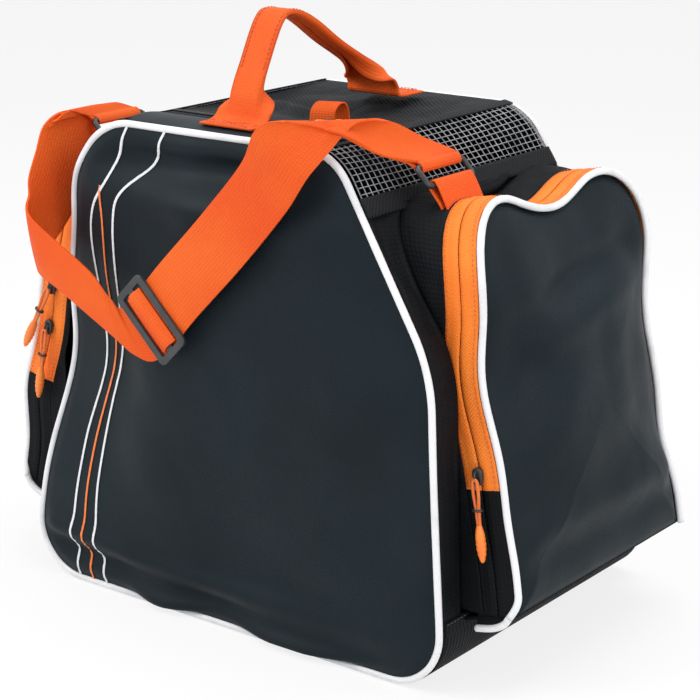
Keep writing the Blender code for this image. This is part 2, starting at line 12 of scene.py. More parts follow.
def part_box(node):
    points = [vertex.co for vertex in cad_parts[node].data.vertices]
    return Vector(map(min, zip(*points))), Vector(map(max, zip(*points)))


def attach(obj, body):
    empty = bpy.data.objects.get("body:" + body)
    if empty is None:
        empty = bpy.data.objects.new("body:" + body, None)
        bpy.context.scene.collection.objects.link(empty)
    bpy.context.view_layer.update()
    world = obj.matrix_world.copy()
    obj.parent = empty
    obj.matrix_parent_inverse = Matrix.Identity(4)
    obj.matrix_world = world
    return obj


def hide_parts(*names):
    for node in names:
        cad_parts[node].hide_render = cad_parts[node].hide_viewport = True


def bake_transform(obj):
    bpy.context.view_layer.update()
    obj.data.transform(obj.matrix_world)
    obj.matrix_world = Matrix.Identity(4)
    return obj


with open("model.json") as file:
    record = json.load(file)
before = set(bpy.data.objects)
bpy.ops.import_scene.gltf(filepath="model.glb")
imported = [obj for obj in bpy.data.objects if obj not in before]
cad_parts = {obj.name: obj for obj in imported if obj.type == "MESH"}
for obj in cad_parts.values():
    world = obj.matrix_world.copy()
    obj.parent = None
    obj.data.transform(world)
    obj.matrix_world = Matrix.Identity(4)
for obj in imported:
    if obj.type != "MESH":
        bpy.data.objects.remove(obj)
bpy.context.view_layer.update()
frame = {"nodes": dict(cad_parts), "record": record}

JOINTS = {joint["name"]: joint for joint in frame["record"]["behaviour"]["joints"]}

# Sizes of the frame that the cloth is cut to, in metres
BASE_HALF = 0.205
SHOULDER_HALF = 0.197
SHOULDER_Z = 0.245
TOP_HALF = 0.108
TOP_Z = 0.392
BELL_RADII = (0.045, 0.120, 0.045)
FRONT_Y = -0.150
BACK_Y = 0.150
BACK_TOP_Y = 0.100
CLOTH = 0.003
PIPING_R = 0.0028
CLOTH_EDGE = 2 * PIPING_R - 0.0008     # where the front's and back's cloth meets its piping
DOOR_PIPING_W = PIPING_R + 0.0004      # how far the doors' piping stands out of their plane
SEAM_DEPTH = 0.0048         # where the side cloth starts, behind the front's or back's own plane
BASE_LIP_Z = 0.050
NET_FOOT_Z = 0.352
DOOR_X = 0.248
DOOR_Z = 0.065
DOOR_HEIGHT = 0.284
DOOR_TILT = math.asin((DOOR_X - SHOULDER_HALF - 0.0018) / DOOR_HEIGHT)
DOOR_FRONT_U = -0.120
DOOR_BACK_U = 0.122
DOOR_BACK_TOP_U = 0.098
DOOR_RADIUS = 0.062
TAPE_WIDTH = 0.0138
TAPE_GAP = 0.0004          # from the middle of a closed zip to its tapes
COIL_GAP = 0.0012          # and to the middle of its coils
ZIP_END = 0.092            # where a zip's closed ends are sewn up, from a door's foot
WEBBING = 0.050
WEBBING_THICK = 0.0018
RING_WIRE = 0.0021
TOP_ZIP_Y = -0.098
TOP_ZIP_GAP = 0.006        # from the top zip's middle to the cloth on either side
TOP_TAPE_HALF = 0.0072

# Softness of the cloth
PANEL_BULGE = 0.011
DOOR_BULGE = 0.022
HUMPS = {1: 0.020, -1: 0.009}    # swell of the right and left door's upper front corner
BACK_HUMP = 0.019          # and of their upper back corner
SADDLE = 0.004             # dip between them
BILLOW = 0.005             # wander of a door's edge in and out of its plane
CURL_IN = 0.0070           # how far a door's front piping curls in under its foot
CURL_FORWARD = 0.0042      # and forward, over the zip's end
SLUMP = 0.022              # how far the front's left edge is drawn in
SWELL = 0.013              # how far the front's upper left corner is pushed out
CLOTH_SHEET = 0.0016
BINDING_SHEET = 0.0012
BASE_SHEET = 0.0022
INSIDE = np.array((0.0, 0.0, 0.18))     # a point in the bag, from which cloth faces outwards

# Camera fitted to the photograph's view
LENS = 105.25
AZIMUTH = math.radians(37.37)
ELEVATION = math.radians(16.50)
CAMERA_AT = (0.971, -1.260, 0.663)

SIDES = ((1, "right"), (-1, "left"))


# Curves and outlines

def rounded(corners, radii, closed, steps=12):
    """Points along a polygon whose corners are arcs of the given radii."""
    points = []
    count = len(corners)
    for i, (corner, radius) in enumerate(zip(corners, radii)):
        here = Vector(corner)
        if radius == 0 or (not closed and i in (0, count - 1)):
            points.append(here)
            continue
        before = (Vector(corners[i - 1]) - here).normalized()
        after = (Vector(corners[(i + 1) % count]) - here).normalized()
        half = before.angle(after) / 2
        centre = here + (before + after).normalized() * radius / math.sin(half)
        start = here + before * radius / math.tan(half) - centre
        turn = start.angle_signed(here + after * radius / math.tan(half) - centre)
        for part in range(steps + 1):
            points.append(centre + Matrix.Rotation(-turn * part / steps, 2) @ start)
    return np.array(points)


def rounded_box(at, half, reach, radius):
    """A rectangle with round corners, its middle at a place on the second axis."""
    corners = [(-half, at - reach), (half, at - reach), (half, at + reach), (-half, at + reach)]
    return rounded(corners, [radius] * 4, True, 6)


def resample(points, count, closed=False):
    """Points spaced evenly along a line; a closed line doesn't repeat its first point."""
    line = np.vstack([points, points[:1]]) if closed else np.asarray(points)
    run = run_along(line)
    at = np.linspace(0, run[-1], count + 1)[:-1] if closed else np.linspace(0, run[-1], count)
    return points_at(at, run, line)


def points_at(at, run, line):
    """A line's points at given distances along it; run is how far along it its own points lie."""
    return joined(*[np.interp(at, run, column) for column in line.T])


def run_along(line):
    """How far along a line each of its points lies."""
    return np.concatenate([[0], np.cumsum(np.linalg.norm(np.diff(line, axis=0), axis=1))])


def joined(*columns):
    """Points from their columns, any of which may be a single number."""
    return np.stack(np.broadcast_arrays(*columns), axis=-1)


def in_plane(points, origin, first, second):
    """2D points laid out from an origin along two directions."""
    return origin + points[:, :1] * first + points[:, 1:] * second


def unit(vectors):
    """Vectors scaled to a length of 1."""
    return vectors / np.linalg.norm(vectors, axis=-1, keepdims=True)


def directions(line, closed=False):
    """Unit vectors along a line at each of its points."""
    if closed:
        return unit(np.roll(line, -1, axis=0) - np.roll(line, 1, axis=0))
    return unit(np.gradient(line, axis=0))


def normals_2d(points, closed=False):
    """Unit vectors to the left of a line's own direction."""
    along = directions(points, closed)
    return joined(-along[:, 1], along[:, 0])


def between(first, last, rows):
    """Rows of points from one line to another."""
    return first[None] + (last - first)[None] * np.linspace(0, 1, rows)[:, None, None]


def spline(points, per_span):
    """A smooth line through points, as a Catmull-Rom curve."""
    knots = np.asarray(points, float)
    padded = np.vstack([2 * knots[0] - knots[1], knots, 2 * knots[-1] - knots[-2]])
    line = []
    for i in range(len(knots) - 1):
        a, b, c, d = padded[i:i + 4]
        square, cube = 2 * a - 5 * b + 4 * c - d, 3 * b - a - 3 * c + d
        for t in np.arange(per_span) / per_span:
            line.append(0.5 * (2 * b + (c - a) * t + square * t**2 + cube * t**3))
    line.append(knots[-1])
    return np.array(line)


def step(low, high, value):
    """0 below low and 1 above high, easing between; high may be the lower of the two."""
    t = np.clip((np.asarray(value, float) - low) / (high - low), 0, 1)
    return t * t * (3 - 2 * t)


def hump(value, middle, width):
    """A smooth rise to 1 at the middle, and next to nothing two widths away."""
    return np.exp(-(((np.asarray(value, float) - middle) / width) ** 2))


def wander(points, scale, seed, octaves=2):
    """Smooth noise from -1 to 1 at each point."""
    flat = np.asarray(points, float).reshape(-1, 3) * scale + seed * 17.31
    values = [noise.fractal(Vector(p), 1.0, 2.1, octaves) for p in flat]
    return np.array(values).reshape(np.asarray(points).shape[:-1])


def bell(amount, count):
    """The body's bell outline in (x, z), drawn in by an amount."""
    right = [(BASE_HALF, 0.0), (SHOULDER_HALF, SHOULDER_Z), (TOP_HALF, TOP_Z)]
    corners = right + [(-x, z) for x, z in reversed(right)]
    line = rounded(corners, BELL_RADII + BELL_RADII[::-1], True)
    line = resample(line, count, True)
    return line + normals_2d(line, True) * amount


BELL = bell(0.0, 900)
BELL_RIGHT = BELL[BELL[:, 0] > 0]
BELL_RIGHT = BELL_RIGHT[np.argsort(np.unwrap(np.arctan2(BELL_RIGHT[:, 1] - INSIDE[2], BELL_RIGHT[:, 0])))]


def bell_stretch(low, high, amount, count):
    """The right side of the bell between two heights, upwards."""
    line = BELL_RIGHT + normals_2d(BELL_RIGHT) * amount
    ends = [np.interp(z, line[:, 1], line[:, 0]) for z in (low, high)]
    inner = line[(line[:, 1] > low) & (line[:, 1] < high)]
    return resample(np.vstack([[ends[0], low], inner, [ends[1], high]]), count)


def half_width(z):
    """How far the bell reaches to the right at a height."""
    rising = BELL_RIGHT[np.concatenate([[True], np.diff(BELL_RIGHT[:, 1]) > 1e-6])]
    return np.interp(z, rising[:, 1], rising[:, 0])


def soft_rim(x, z):
    """How far the sewn edge of the front wanders back from its plane."""
    give = 0.018 * step(-0.07, -0.19, x) * hump(z, 0.20, 0.10)
    return give + 0.003 * np.sin(9.0 * x + 14.0 * z) * step(0.0, 0.06, z)


def front_at(x, z):
    """Depth of the front's sewn edge."""
    return FRONT_Y + soft_rim(x, z)


def slump(points):
    """Cloth points with the front's sagged left edge drawn in at mid height and pushed out above."""
    x, y, z = points[..., 0], points[..., 1], points[..., 2]
    drawn = SLUMP * hump(z, 0.205, 0.085) * step(-0.06, -0.185, x)
    pushed = SWELL * hump(z, 0.350, 0.036) * step(-0.04, -0.120, x)
    moved = points.copy()
    moved[..., 0] += (drawn - pushed) * step(-0.095, -0.128, y)
    return moved


def back_at(x, z):
    """Depth of the back's sewn edge, which leans in towards the top."""
    return BACK_Y + (BACK_TOP_Y - BACK_Y) * z / TOP_Z - 0.6 * soft_rim(-x, z)


def arch(side, amount, count):
    """A door's arch in (u, v) with the sag of its top, drawn in by an amount, and its place from 0 to 1."""
    corners = [(DOOR_FRONT_U, 0.0), (DOOR_FRONT_U, DOOR_HEIGHT)]
    corners += [(DOOR_BACK_TOP_U, DOOR_HEIGHT), (DOOR_BACK_U, 0.0)]
    line = resample(rounded(corners, [0, DOOR_RADIUS, DOOR_RADIUS, 0], False), count)
    place = np.linspace(0, 1, count)
    rise = HUMPS[side] * hump(place, 0.385, 0.060) + BACK_HUMP * hump(place, 0.620, 0.055)
    rise = rise - SADDLE * hump(place, 0.50, 0.050)
    return line + normals_2d(line) * (rise - amount)[:, None], place


def billow(side, place):
    """How far a door's edge stands out of its plane at a place on the arch; nothing at its feet."""
    swing = np.sin(place * 19 + side) + 0.6 * np.sin(place * 37 + 2 * side)
    return BILLOW * swing * step(0.0, 0.12, place) * step(1.0, 0.88, place)


def on_door(side, u, v, w):
    """Points given along, up and out of a door's plane; side is 1 on the right and -1 on the left."""
    out = DOOR_X + w * math.cos(DOOR_TILT) - v * math.sin(DOOR_TILT)
    return joined(side * out, u, DOOR_Z + v * math.cos(DOOR_TILT) + w * math.sin(DOOR_TILT))


# Meshes

def box_of(node):
    """The lower and upper corner of a frame node's box."""
    return np.array(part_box(node))


def middle_of(node):
    """The middle of a frame node's box."""
    return box_of(node).mean(axis=0)


def placed(origin, *axes):
    """The matrix that moves to an origin and turns X, Y and Z to three axes."""
    return Matrix.Translation(origin) @ Matrix(np.stack(axes, axis=1).tolist()).to_4x4()


def linked(name, data):
    """A new object in the scene."""
    made = bpy.data.objects.new(name, data)
    bpy.context.scene.collection.objects.link(made)
    return made


def shaped(name, shape):
    """A smooth object from a bmesh, which is freed."""
    mesh = bpy.data.meshes.new(name)
    shape.to_mesh(mesh)
    shape.free()
    mesh.shade_smooth()
    return linked(name, mesh)


def thicken(made, thickness, offset):
    """Gives a sheet its thickness: inwards at an offset of -1, to both sides at 0."""
    shell = made.modifiers.new("thickness", "SOLIDIFY")
    shell.thickness = thickness
    shell.offset = offset


def grid_normals(points):
    """Unit vectors square to a grid of points, looking out of the bag."""
    flat = np.cross(np.gradient(points, axis=1), np.gradient(points, axis=0))
    flat /= np.maximum(np.linalg.norm(flat, axis=-1, keepdims=True), 1e-9)
    return flat if np.sum(flat * (points - INSIDE)) > 0 else -flat


def crumple(points, amount, scale, seed, fade=0.14):
    """Cloth points moved in and out along their normals, held still at the sewn edges."""
    rows, cols = points.shape[:2]
    edge_v = np.minimum(np.linspace(0, 1, rows), np.linspace(1, 0, rows))
    edge_u = np.minimum(np.linspace(0, 1, cols), np.linspace(1, 0, cols))
    hold = step(0, fade, edge_v)[:, None] * step(0, fade, edge_u)[None, :]
    return points + grid_normals(points) * (amount * hold * wander(points, scale, seed, 3))[..., None]


def grid_faces(rows, cols, ring_rows, ring_cols):
    """Faces over a grid of points, whose rows or columns may close into rings."""
    faces = []
    for r in range(rows if ring_rows else rows - 1):
        for c in range(cols if ring_cols else cols - 1):
            n, d = (r + 1) % rows, (c + 1) % cols
            faces.append((r * cols + c, r * cols + d, n * cols + d, n * cols + c))
    return faces


def surface(name, points, thickness=CLOTH_SHEET, closed=False, uv=None):
    """A smooth sheet over a grid of points, with its lengths in metres as UVs, thickened inwards."""
    rows, cols = points.shape[:2]
    faces = grid_faces(rows, cols, False, closed)
    if closed:
        faces.append(tuple(range((rows - 1) * cols, rows * cols)))
    mesh = bpy.data.meshes.new(name)
    mesh.from_pydata(points.reshape(-1, 3).tolist(), [], faces)
    if uv is None:
        uv = np.stack(np.meshgrid(run_along(points[rows // 2]), run_along(points[:, cols // 2])), axis=-1)
    layer = mesh.uv_layers.new(name="lengths")
    corners = np.empty(len(mesh.loops), dtype=np.int32)
    mesh.loops.foreach_get("vertex_index", corners)
    layer.data.foreach_set("uv", uv.reshape(-1, 2)[corners].ravel())
    if np.sum(mesh_normal(mesh) * (points.reshape(-1, 3).mean(axis=0) - INSIDE)) < 0:
        mesh.flip_normals()
    mesh.shade_smooth()
    made = linked(name, mesh)
    if thickness:
        thicken(made, thickness, -1.0)
    return made


def mesh_normal(mesh):
    """The sum of a mesh's normals, weighted by area."""
    found = np.empty(len(mesh.polygons) * 3)
    mesh.polygons.foreach_get("normal", found)
    areas = np.empty(len(mesh.polygons))
    mesh.polygons.foreach_get("area", areas)
    return (found.reshape(-1, 3) * areas[:, None]).sum(axis=0)


def frames_along(path, closed):
    """Two unit vectors square to a path at each of its points, turning as little as they can."""
    along = directions(path, closed)
    side = np.cross(along[0], (0.31, 0.87, 0.39))
    sides = []
    for way in along:
        side = unit(side - way * np.dot(side, way))
        sides.append(side)
    sides = np.array(sides)
    return sides, np.cross(along, sides)


def tube(name, path, radius, closed=False, sides=12):
    """A round cord along a path; radius may change from point to point."""
    path = np.asarray(path, float)
    first, second = frames_along(path, closed)
    angle = np.linspace(0, 2 * math.pi, sides, endpoint=False)
    radii = np.broadcast_to(radius, len(path))[:, None, None]
    ring = first[:, None] * np.cos(angle)[None, :, None] + second[:, None] * np.sin(angle)[None, :, None]
    return skin(name, path[:, None] + ring * radii, closed)


def skin(name, rings, closed=False):
    """A smooth object over rings of points, capped at both ends unless the last ring meets the first."""
    count, sides = rings.shape[:2]
    faces = grid_faces(count, sides, closed, True)
    if not closed:
        faces += [tuple(reversed(range(sides))), tuple(range((count - 1) * sides, count * sides))]
    shape = bmesh.new()
    corners = [shape.verts.new(point) for point in rings.reshape(-1, 3)]
    for face in faces:
        shape.faces.new([corners[i] for i in face])
    bmesh.ops.recalc_face_normals(shape, faces=shape.faces)
    return shaped(name, shape)


def ribbon(name, path, across, width, thickness, camber=0.0):
    """Webbing along a path, lying across the given way or ways, with its edges turned down by the camber."""
    across = unit(np.broadcast_to(across, path.shape))
    face = unit(np.cross(directions(path), across))
    spread = np.linspace(-0.5, 0.5, 9)
    points = path[:, None] + across[:, None] * (spread * width)[None, :, None]
    points = points - face[:, None] * (camber * (2 * spread) ** 2)[None, :, None]
    uv = joined(spread * width, run_along(path)[:, None])
    made = surface(name, points, 0.0, uv=uv)
    thicken(made, thickness, 0.0)
    edge = made.modifiers.new("edges", "BEVEL")
    edge.width = thickness * 0.35
    edge.segments = 2
    edge.limit_method = "ANGLE"
    return made


def stitches(name, path, face, pitch=0.0042, length=0.0028, radius=0.00042):
    """A row of thread stitches lying on a line; face is the way that the surface under each point looks."""
    path = np.asarray(path, float)
    run = run_along(path)
    face = np.broadcast_to(face, path.shape)
    shape = bmesh.new()
    for start in np.arange(pitch / 2, run[-1] - length, pitch):
        ends = points_at((start, start + length), run, path)
        up = points_at(start, run, face)
        way = ends[1] - ends[0]
        place = placed(ends.mean(axis=0), unit(way), unit(np.cross(up, way)), unit(up))
        size = Matrix.Diagonal((length / 2 + radius, radius, radius * 0.8, 1.0))
        bmesh.ops.create_uvsphere(shape, u_segments=6, v_segments=4, radius=1.0, matrix=place @ size)
    return shaped(name, shape)


def dress(made, finish, body, slot, *nodes):
    """Gives a piece its material and body, and hides the frame nodes it stands for; slot is not used; a
    piece given no body stays unattached.
    """
    made.data.materials.clear()
    made.data.materials.append(finish)
    if body:
        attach(made, body)
    if nodes:
        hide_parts(*nodes)


# Materials

def add_node(tree, kind, links=(), **values):
    """A new shader node with its values set and its sockets linked."""
    made = tree.nodes.new(kind)
    for key, value in values.items():
        if key in made.inputs:
            made.inputs[key].default_value = value
        else:
            setattr(made, key, value)
    for socket, source in links:
        tree.links.new(source, made.inputs[socket])
    return made


class Finish:
    """A procedural material, built up from a Principled shader."""

    def __init__(self, name, roughness, **sockets):
        self.material = bpy.data.materials.new(name)
        self.material.use_nodes = True
        self.tree = self.material.node_tree
        self.shader = self.tree.nodes["Principled BSDF"]
        self.shader.inputs["Roughness"].default_value = roughness
        for socket, value in sockets.items():
            self.shader.inputs[socket.replace("_", " ").title().replace("Ior", "IOR")].default_value = value

    def node(self, kind, links=(), **values):
        """A new node of this material."""
        return add_node(self.tree, kind, links, **values)

    def drive(self, socket, source):
        """Links a socket of the shader."""
        self.tree.links.new(source, self.shader.inputs[socket])

    def bands(self, pitch, direction, turn):
        """Stripes with a pitch in metres, along UV lengths that are turned by an angle."""
        spot = self.node("ShaderNodeUVMap", uv_map="lengths").outputs["UV"]
        turned = self.node("ShaderNodeMapping", [("Vector", spot)], Rotation=(0, 0, turn))
        links = [("Vector", turned.outputs["Vector"])]
        scale = math.pi / 10 / pitch
        return self.node("ShaderNodeTexWave", links, Scale=scale, bands_direction=direction).outputs["Fac"]

    def cloud(self, scale, detail=3.0):
        """Soft patches."""
        links = [("Vector", self.node("ShaderNodeTexCoord").outputs["Object"])]
        return self.node("ShaderNodeTexNoise", links, Scale=scale, Detail=detail).outputs["Fac"]

    def colours(self, source, dark, light, low, high):
        """Base colour between two shades, driven by a factor."""
        ramp = self.node("ShaderNodeValToRGB", [("Fac", source)])
        for stop, place, shade in zip(ramp.color_ramp.elements, (low, high), (dark, light)):
            stop.position = place
            stop.color = (*shade, 1.0)
        self.drive("Base Color", ramp.outputs["Color"])
        return ramp.outputs["Color"]

    def tint(self, colour, source, amount):
        """Darkens the base colour where a factor is low."""
        dark = self.node("ShaderNodeHueSaturation", [("Color", colour)], Value=1.0 - amount)
        links = [("Factor", source), ("A", dark.outputs["Color"]), ("B", colour)]
        self.drive("Base Color", self.node("ShaderNodeMix", links, data_type="RGBA").outputs["Result"])

    def gloss(self, source, low, high):
        """Roughness between two values, driven by a factor."""
        span = {"To Min": low, "To Max": high}
        found = self.node("ShaderNodeMapRange", [("Value", source)], **span)
        self.drive("Roughness", found.outputs["Result"])

    def relief(self, source, depth, strength):
        """Adds a bump of a depth in metres on top of those already there."""
        bump = self.node("ShaderNodeBump", [("Height", source)], Distance=depth, Strength=strength)
        before = self.shader.inputs["Normal"].links
        if before:
            self.tree.links.new(before[0].from_socket, bump.inputs["Normal"])
        self.drive("Normal", bump.outputs["Normal"])

    def both(self, first, second, operation):
        """Two factors in one."""
        links = [(0, first), (1, second)]
        return self.node("ShaderNodeMath", links, operation=operation).outputs["Value"]


def finish(name, roughness, patches, dark, light, stops=(0.3, 0.7), weave=(), mix="MULTIPLY", tint=0.0,
           gloss=None, bumps=(), **sockets):
    """A material in two shades, in soft patches given by scale and detail.

    A weave is stripes (pitch, direction, turn) or patches, and tint is how far it darkens the shades.
    Gloss is (patches, low, high), and each bump (patches or None for the weave, depth, strength).
    """
    made = Finish(name, roughness, **sockets)
    factors = [made.bands(*each) if len(each) == 3 else made.cloud(*each) for each in weave]
    colour = made.colours(made.cloud(*patches), dark, light, *stops)
    if weave:
        pattern = made.both(*factors, mix) if len(factors) == 2 else factors[0]
        made.tint(colour, pattern, tint)
    if gloss:
        made.gloss(made.cloud(*gloss[0]), *gloss[1:])
    for source, depth, strength in bumps:
        made.relief(made.cloud(*source) if source else pattern, depth, strength)
    return made.material


def plastic(name, dark, light, low, high):
    """Moulded plastic hardware with a fine spark-eroded grain and rubbed edges."""
    return finish(name, low, (80.0,), dark, light, gloss=((160.0,), low, high),
                  bumps=(((2200.0,), 0.00008, 0.5),), specular_ior_level=0.5)


def thread(name, dark, light):
    """Sewing thread or printed ink, with a fine nap."""
    return finish(name, 0.6, (400.0,), dark, light, bumps=(((2500.0,), 0.0002, 0.5),), **NAP)


NAP = {"sheen_weight": 0.2, "sheen_roughness": 0.5}

# Black polyester with a soft-sheen coating: faint weave, leathery grain, shiny wear on high folds
COATED = finish(
    "coated_cloth", 0.50, (9.0,), (0.0024, 0.0083, 0.0128), (0.0066, 0.0160, 0.0225),
    weave=((0.0015, "X", 0.5), (0.0015, "Y", 0.5)), tint=0.30, gloss=((26.0,), 0.42, 0.62),
    bumps=(((34.0, 4.0), 0.0016, 0.45), (None, 0.00018, 0.7)), specular_ior_level=0.17)
# Black twill with a raised diagonal rib
RIBBED = finish(
    "ribbed_cloth", 0.75, (12.0,), (0.0050, 0.0064, 0.0082), (0.0115, 0.0140, 0.0175),
    weave=((0.0031, "X", 0.9),), tint=0.45,
    bumps=((None, 0.0006, 0.8), ((40.0,), 0.0012, 0.4)), specular_ior_level=0.22)
# Black dobby weave: a small raised check
DOBBY = finish(
    "dobby_cloth", 0.70, (10.0,), (0.0024, 0.0033, 0.0046), (0.0070, 0.0090, 0.0120),
    weave=((0.0036, "X", 0.0), (0.0036, "Y", 0.0)), tint=0.4,
    bumps=((None, 0.0004, 0.7), ((36.0,), 0.0014, 0.45)), specular_ior_level=0.13)
# Hard-wearing black base cloth with a cross rib and scuffed high spots
BASE_FABRIC = finish(
    "base_cloth", 0.70, (22.0, 6.0), (0.0034, 0.0040, 0.0050), (0.0100, 0.0114, 0.0135),
    weave=((0.0044, "Y", 0.0),), tint=0.5, gloss=((30.0,), 0.55, 0.80),
    bumps=((None, 0.0007, 0.8),), specular_ior_level=0.10)
# Plain black lining
LINING = finish(
    "lining_cloth", 0.80, (10.0,), (0.010, 0.010, 0.011), (0.018, 0.018, 0.020),
    weave=((0.0024, "X", 0.0), (0.0024, "Y", 0.0)), tint=0.3,
    bumps=((None, 0.0003, 0.5),), specular_ior_level=0.3)
# Pale nylon net with a slight sheen
NET = finish(
    "net_cord", 0.45, (60.0,), (0.20, 0.21, 0.22), (0.42, 0.43, 0.45),
    bumps=(((900.0,), 0.0003, 0.5),), specular_ior_level=0.5)
# White vinyl piping, a little grimy in its creases
VINYL = finish(
    "white_vinyl", 0.34, (30.0, 5.0), (0.60, 0.61, 0.64), (0.80, 0.80, 0.82), (0.25, 0.5),
    bumps=(((120.0,), 0.0004, 0.4),), specular_ior_level=0.5, coat_weight=0.15, coat_roughness=0.25)
# Orange zip tape in a fine herringbone
TAPE = finish(
    "orange_tape", 0.62, (16.0,), (0.95, 0.185, 0.016), (1.00, 0.265, 0.030),
    weave=((0.0019, "X", 0.7), (0.0019, "X", -0.7)), mix="ADD", tint=0.16,
    bumps=((None, 0.00022, 0.7),), specular_ior_level=0.3)
# Orange woven webbing: close cross ribs, long yarns, and a few worn lighter patches
WEB = finish(
    "orange_webbing", 0.66, (14.0, 4.0), (0.90, 0.095, 0.008), (0.98, 0.150, 0.015),
    weave=((0.0017, "Y", 0.0), (0.0026, "X", 0.0)), tint=0.22,
    bumps=((None, 0.00035, 0.8), ((50.0,), 0.0008, 0.3)), specular_ior_level=0.25)
# Braided pull cord
BRAID = finish(
    "braided_cord", 0.58, (60.0,), (0.84, 0.150, 0.014), (0.95, 0.230, 0.030),
    weave=((1100.0, 1.0),), tint=0.35, bumps=((None, 0.0006, 0.8),), **NAP)
# Soft moulded rubber
RUBBER = finish(
    "orange_rubber", 0.42, (70.0,), (0.86, 0.190, 0.020), (0.95, 0.250, 0.034),
    bumps=(((1500.0,), 0.00008, 0.5),), specular_ior_level=0.5)
BLACK_PLASTIC = plastic("black_plastic", (0.016, 0.016, 0.018), (0.034, 0.034, 0.037), 0.30, 0.46)
GREY_PLASTIC = plastic("grey_plastic", (0.026, 0.028, 0.031), (0.045, 0.048, 0.052), 0.32, 0.48)
# Zip coil in its own orange, darkened well below the tape's as painted shade of the slit where the tape's
# two flaps meet
COIL_WITH_SLIT_SHADE = plastic("zip_coil", (0.420, 0.070, 0.008), (0.560, 0.095, 0.010), 0.45, 0.65)
BLACK_COIL = plastic("black_zip_coil", (0.012, 0.012, 0.013), (0.030, 0.030, 0.032), 0.35, 0.55)
BLACK_THREAD = thread("black_thread", (0.020, 0.021, 0.024), (0.050, 0.052, 0.056))
RED_THREAD = thread("red_thread", (0.45, 0.060, 0.010), (0.62, 0.090, 0.014))
WHITE_PRINT = thread("white_print", (0.74, 0.75, 0.78), (0.88, 0.88, 0.90))
ORANGE_PRINT = thread("orange_print", (0.84, 0.160, 0.016), (0.94, 0.220, 0.026))


# Body of the bag

def disc(outline, rings):
    """Rings of 2D points from an outline in to its middle, and how far out each ring lies."""
    middle = outline.mean(axis=0)
    share = 1 - np.linspace(0, 1, rings) ** 1.25 * 0.985
    return middle + (outline[None] - middle) * share[:, None, None], share


def panel_relief(x, z, share):
    """How far the front panel bellies out: its crown, a dent under the top, a crease at the foot."""
    crown = PANEL_BULGE * (1 - share**2.6)
    free = step(0.0, 0.10, 1 - share)
    dent = -0.012 * hump(z, 0.362, 0.015) * hump(x, -0.010, 0.075)
    lip = 0.007 * hump(z, 0.334, 0.014) * hump(x, -0.010, 0.085)
    fold = z - 0.036 - 0.012 * hump(x, -0.20, 0.12)
    crease = (0.0055 * hump(fold, 0.0, 0.010) - 0.0050 * hump(fold, -0.017, 0.008)) * step(0.19, 0.05, x)
    slant = x + 0.105 - 0.20 * (z - 0.20)
    hollow = -0.006 * hump(slant, 0.0, 0.030) * hump(z, 0.22, 0.11)
    ridge = 0.004 * hump(slant, 0.055, 0.028) * hump(z, 0.25, 0.10)
    pull = 0.0022 * np.sin(60 * x + 26 * z) * hump(z, 0.375, 0.05) * step(0.09, -0.02, x)
    return crown + (dent + lip + crease + hollow + ridge + pull) * free


def foot_roll(x, z):
    """Where slack cloth rolls down over the front's lower piping, from 0 to 1."""
    along = step(-0.112, -0.062, x) * step(-0.012, -0.060, x)
    along = along + step(-0.005, 0.055, x) * step(0.150, 0.080, x)
    height = z - CLOTH_EDGE
    return along * step(0.0, 0.0042, height) * step(0.034, 0.0050, height)


def panel_points(word):
    """The front's or back's bellied cloth, in rings from the piping in."""
    flat, share = disc(bell(CLOTH_EDGE, 240), 52)
    x, z = flat[..., 0], flat[..., 1]
    share = np.broadcast_to(share[:, None], x.shape)
    mirrored = x if word == "front" else -x
    out = panel_relief(mirrored, z, share)
    spots = joined(x, 3.0 if word == "front" else 7.0, z)
    out = out + 0.0042 * wander(spots, scale=9.0, seed=1.0) * step(0.02, 0.35, 1 - share)
    out = out - 0.0022 * hump(share, 1.0, 0.03)
    if word == "back":
        return slump(joined(x, back_at(x, z) + out, z))
    roll = foot_roll(x, z)
    return slump(joined(x, front_at(x, z) - out - 0.0085 * roll, z - 0.0046 * roll))


def piping(name, path, seed, closed=False):
    """A slightly uneven cord of piping along a path."""
    uneven = wander(path, scale=40.0, seed=seed, octaves=1)
    return tube(name, path, PIPING_R * (0.97 + 0.05 * uneven), closed)


def build_panels():
    """The front and back: a padded cloth with piping round it, and the lines printed on the front."""
    for word, edge_at, inward in (("front", front_at, 1), ("back", back_at, -1)):
        points = panel_points(word)
        made = surface(f"{word}_cloth", points, closed=True, uv=points[..., [0, 2]])
        dress(made, COATED, "bag", "coated_cloth", f"{word}_panel")
        x, z = bell(PIPING_R, 300).T
        path = slump(joined(x, edge_at(x, z) + inward * PIPING_R, z))
        cord = piping(f"{word}_piping", path, 2.0, closed=True)
        dress(cord, VINYL, "bag", "piping", f"{word}_panel_piping")
    build_pinstripes()


STRIPES = (                # printed lines down the front, as (x, z), with half width and ink
    (((-0.086, 0.3885), (-0.106, 0.345), (-0.131, 0.300),
      (-0.128, 0.200), (-0.150, 0.120), (-0.158, 0.0052)), 0.0011, "white"),
    (((-0.048, 0.3885), (-0.062, 0.362), (-0.100, 0.318),
      (-0.106, 0.210), (-0.128, 0.120), (-0.128, 0.0050)), 0.0011, "white"),
    (((-0.112, 0.340), (-0.117, 0.270), (-0.116, 0.200), (-0.139, 0.118), (-0.143, 0.0050)),
     0.0010, "orange"),
)


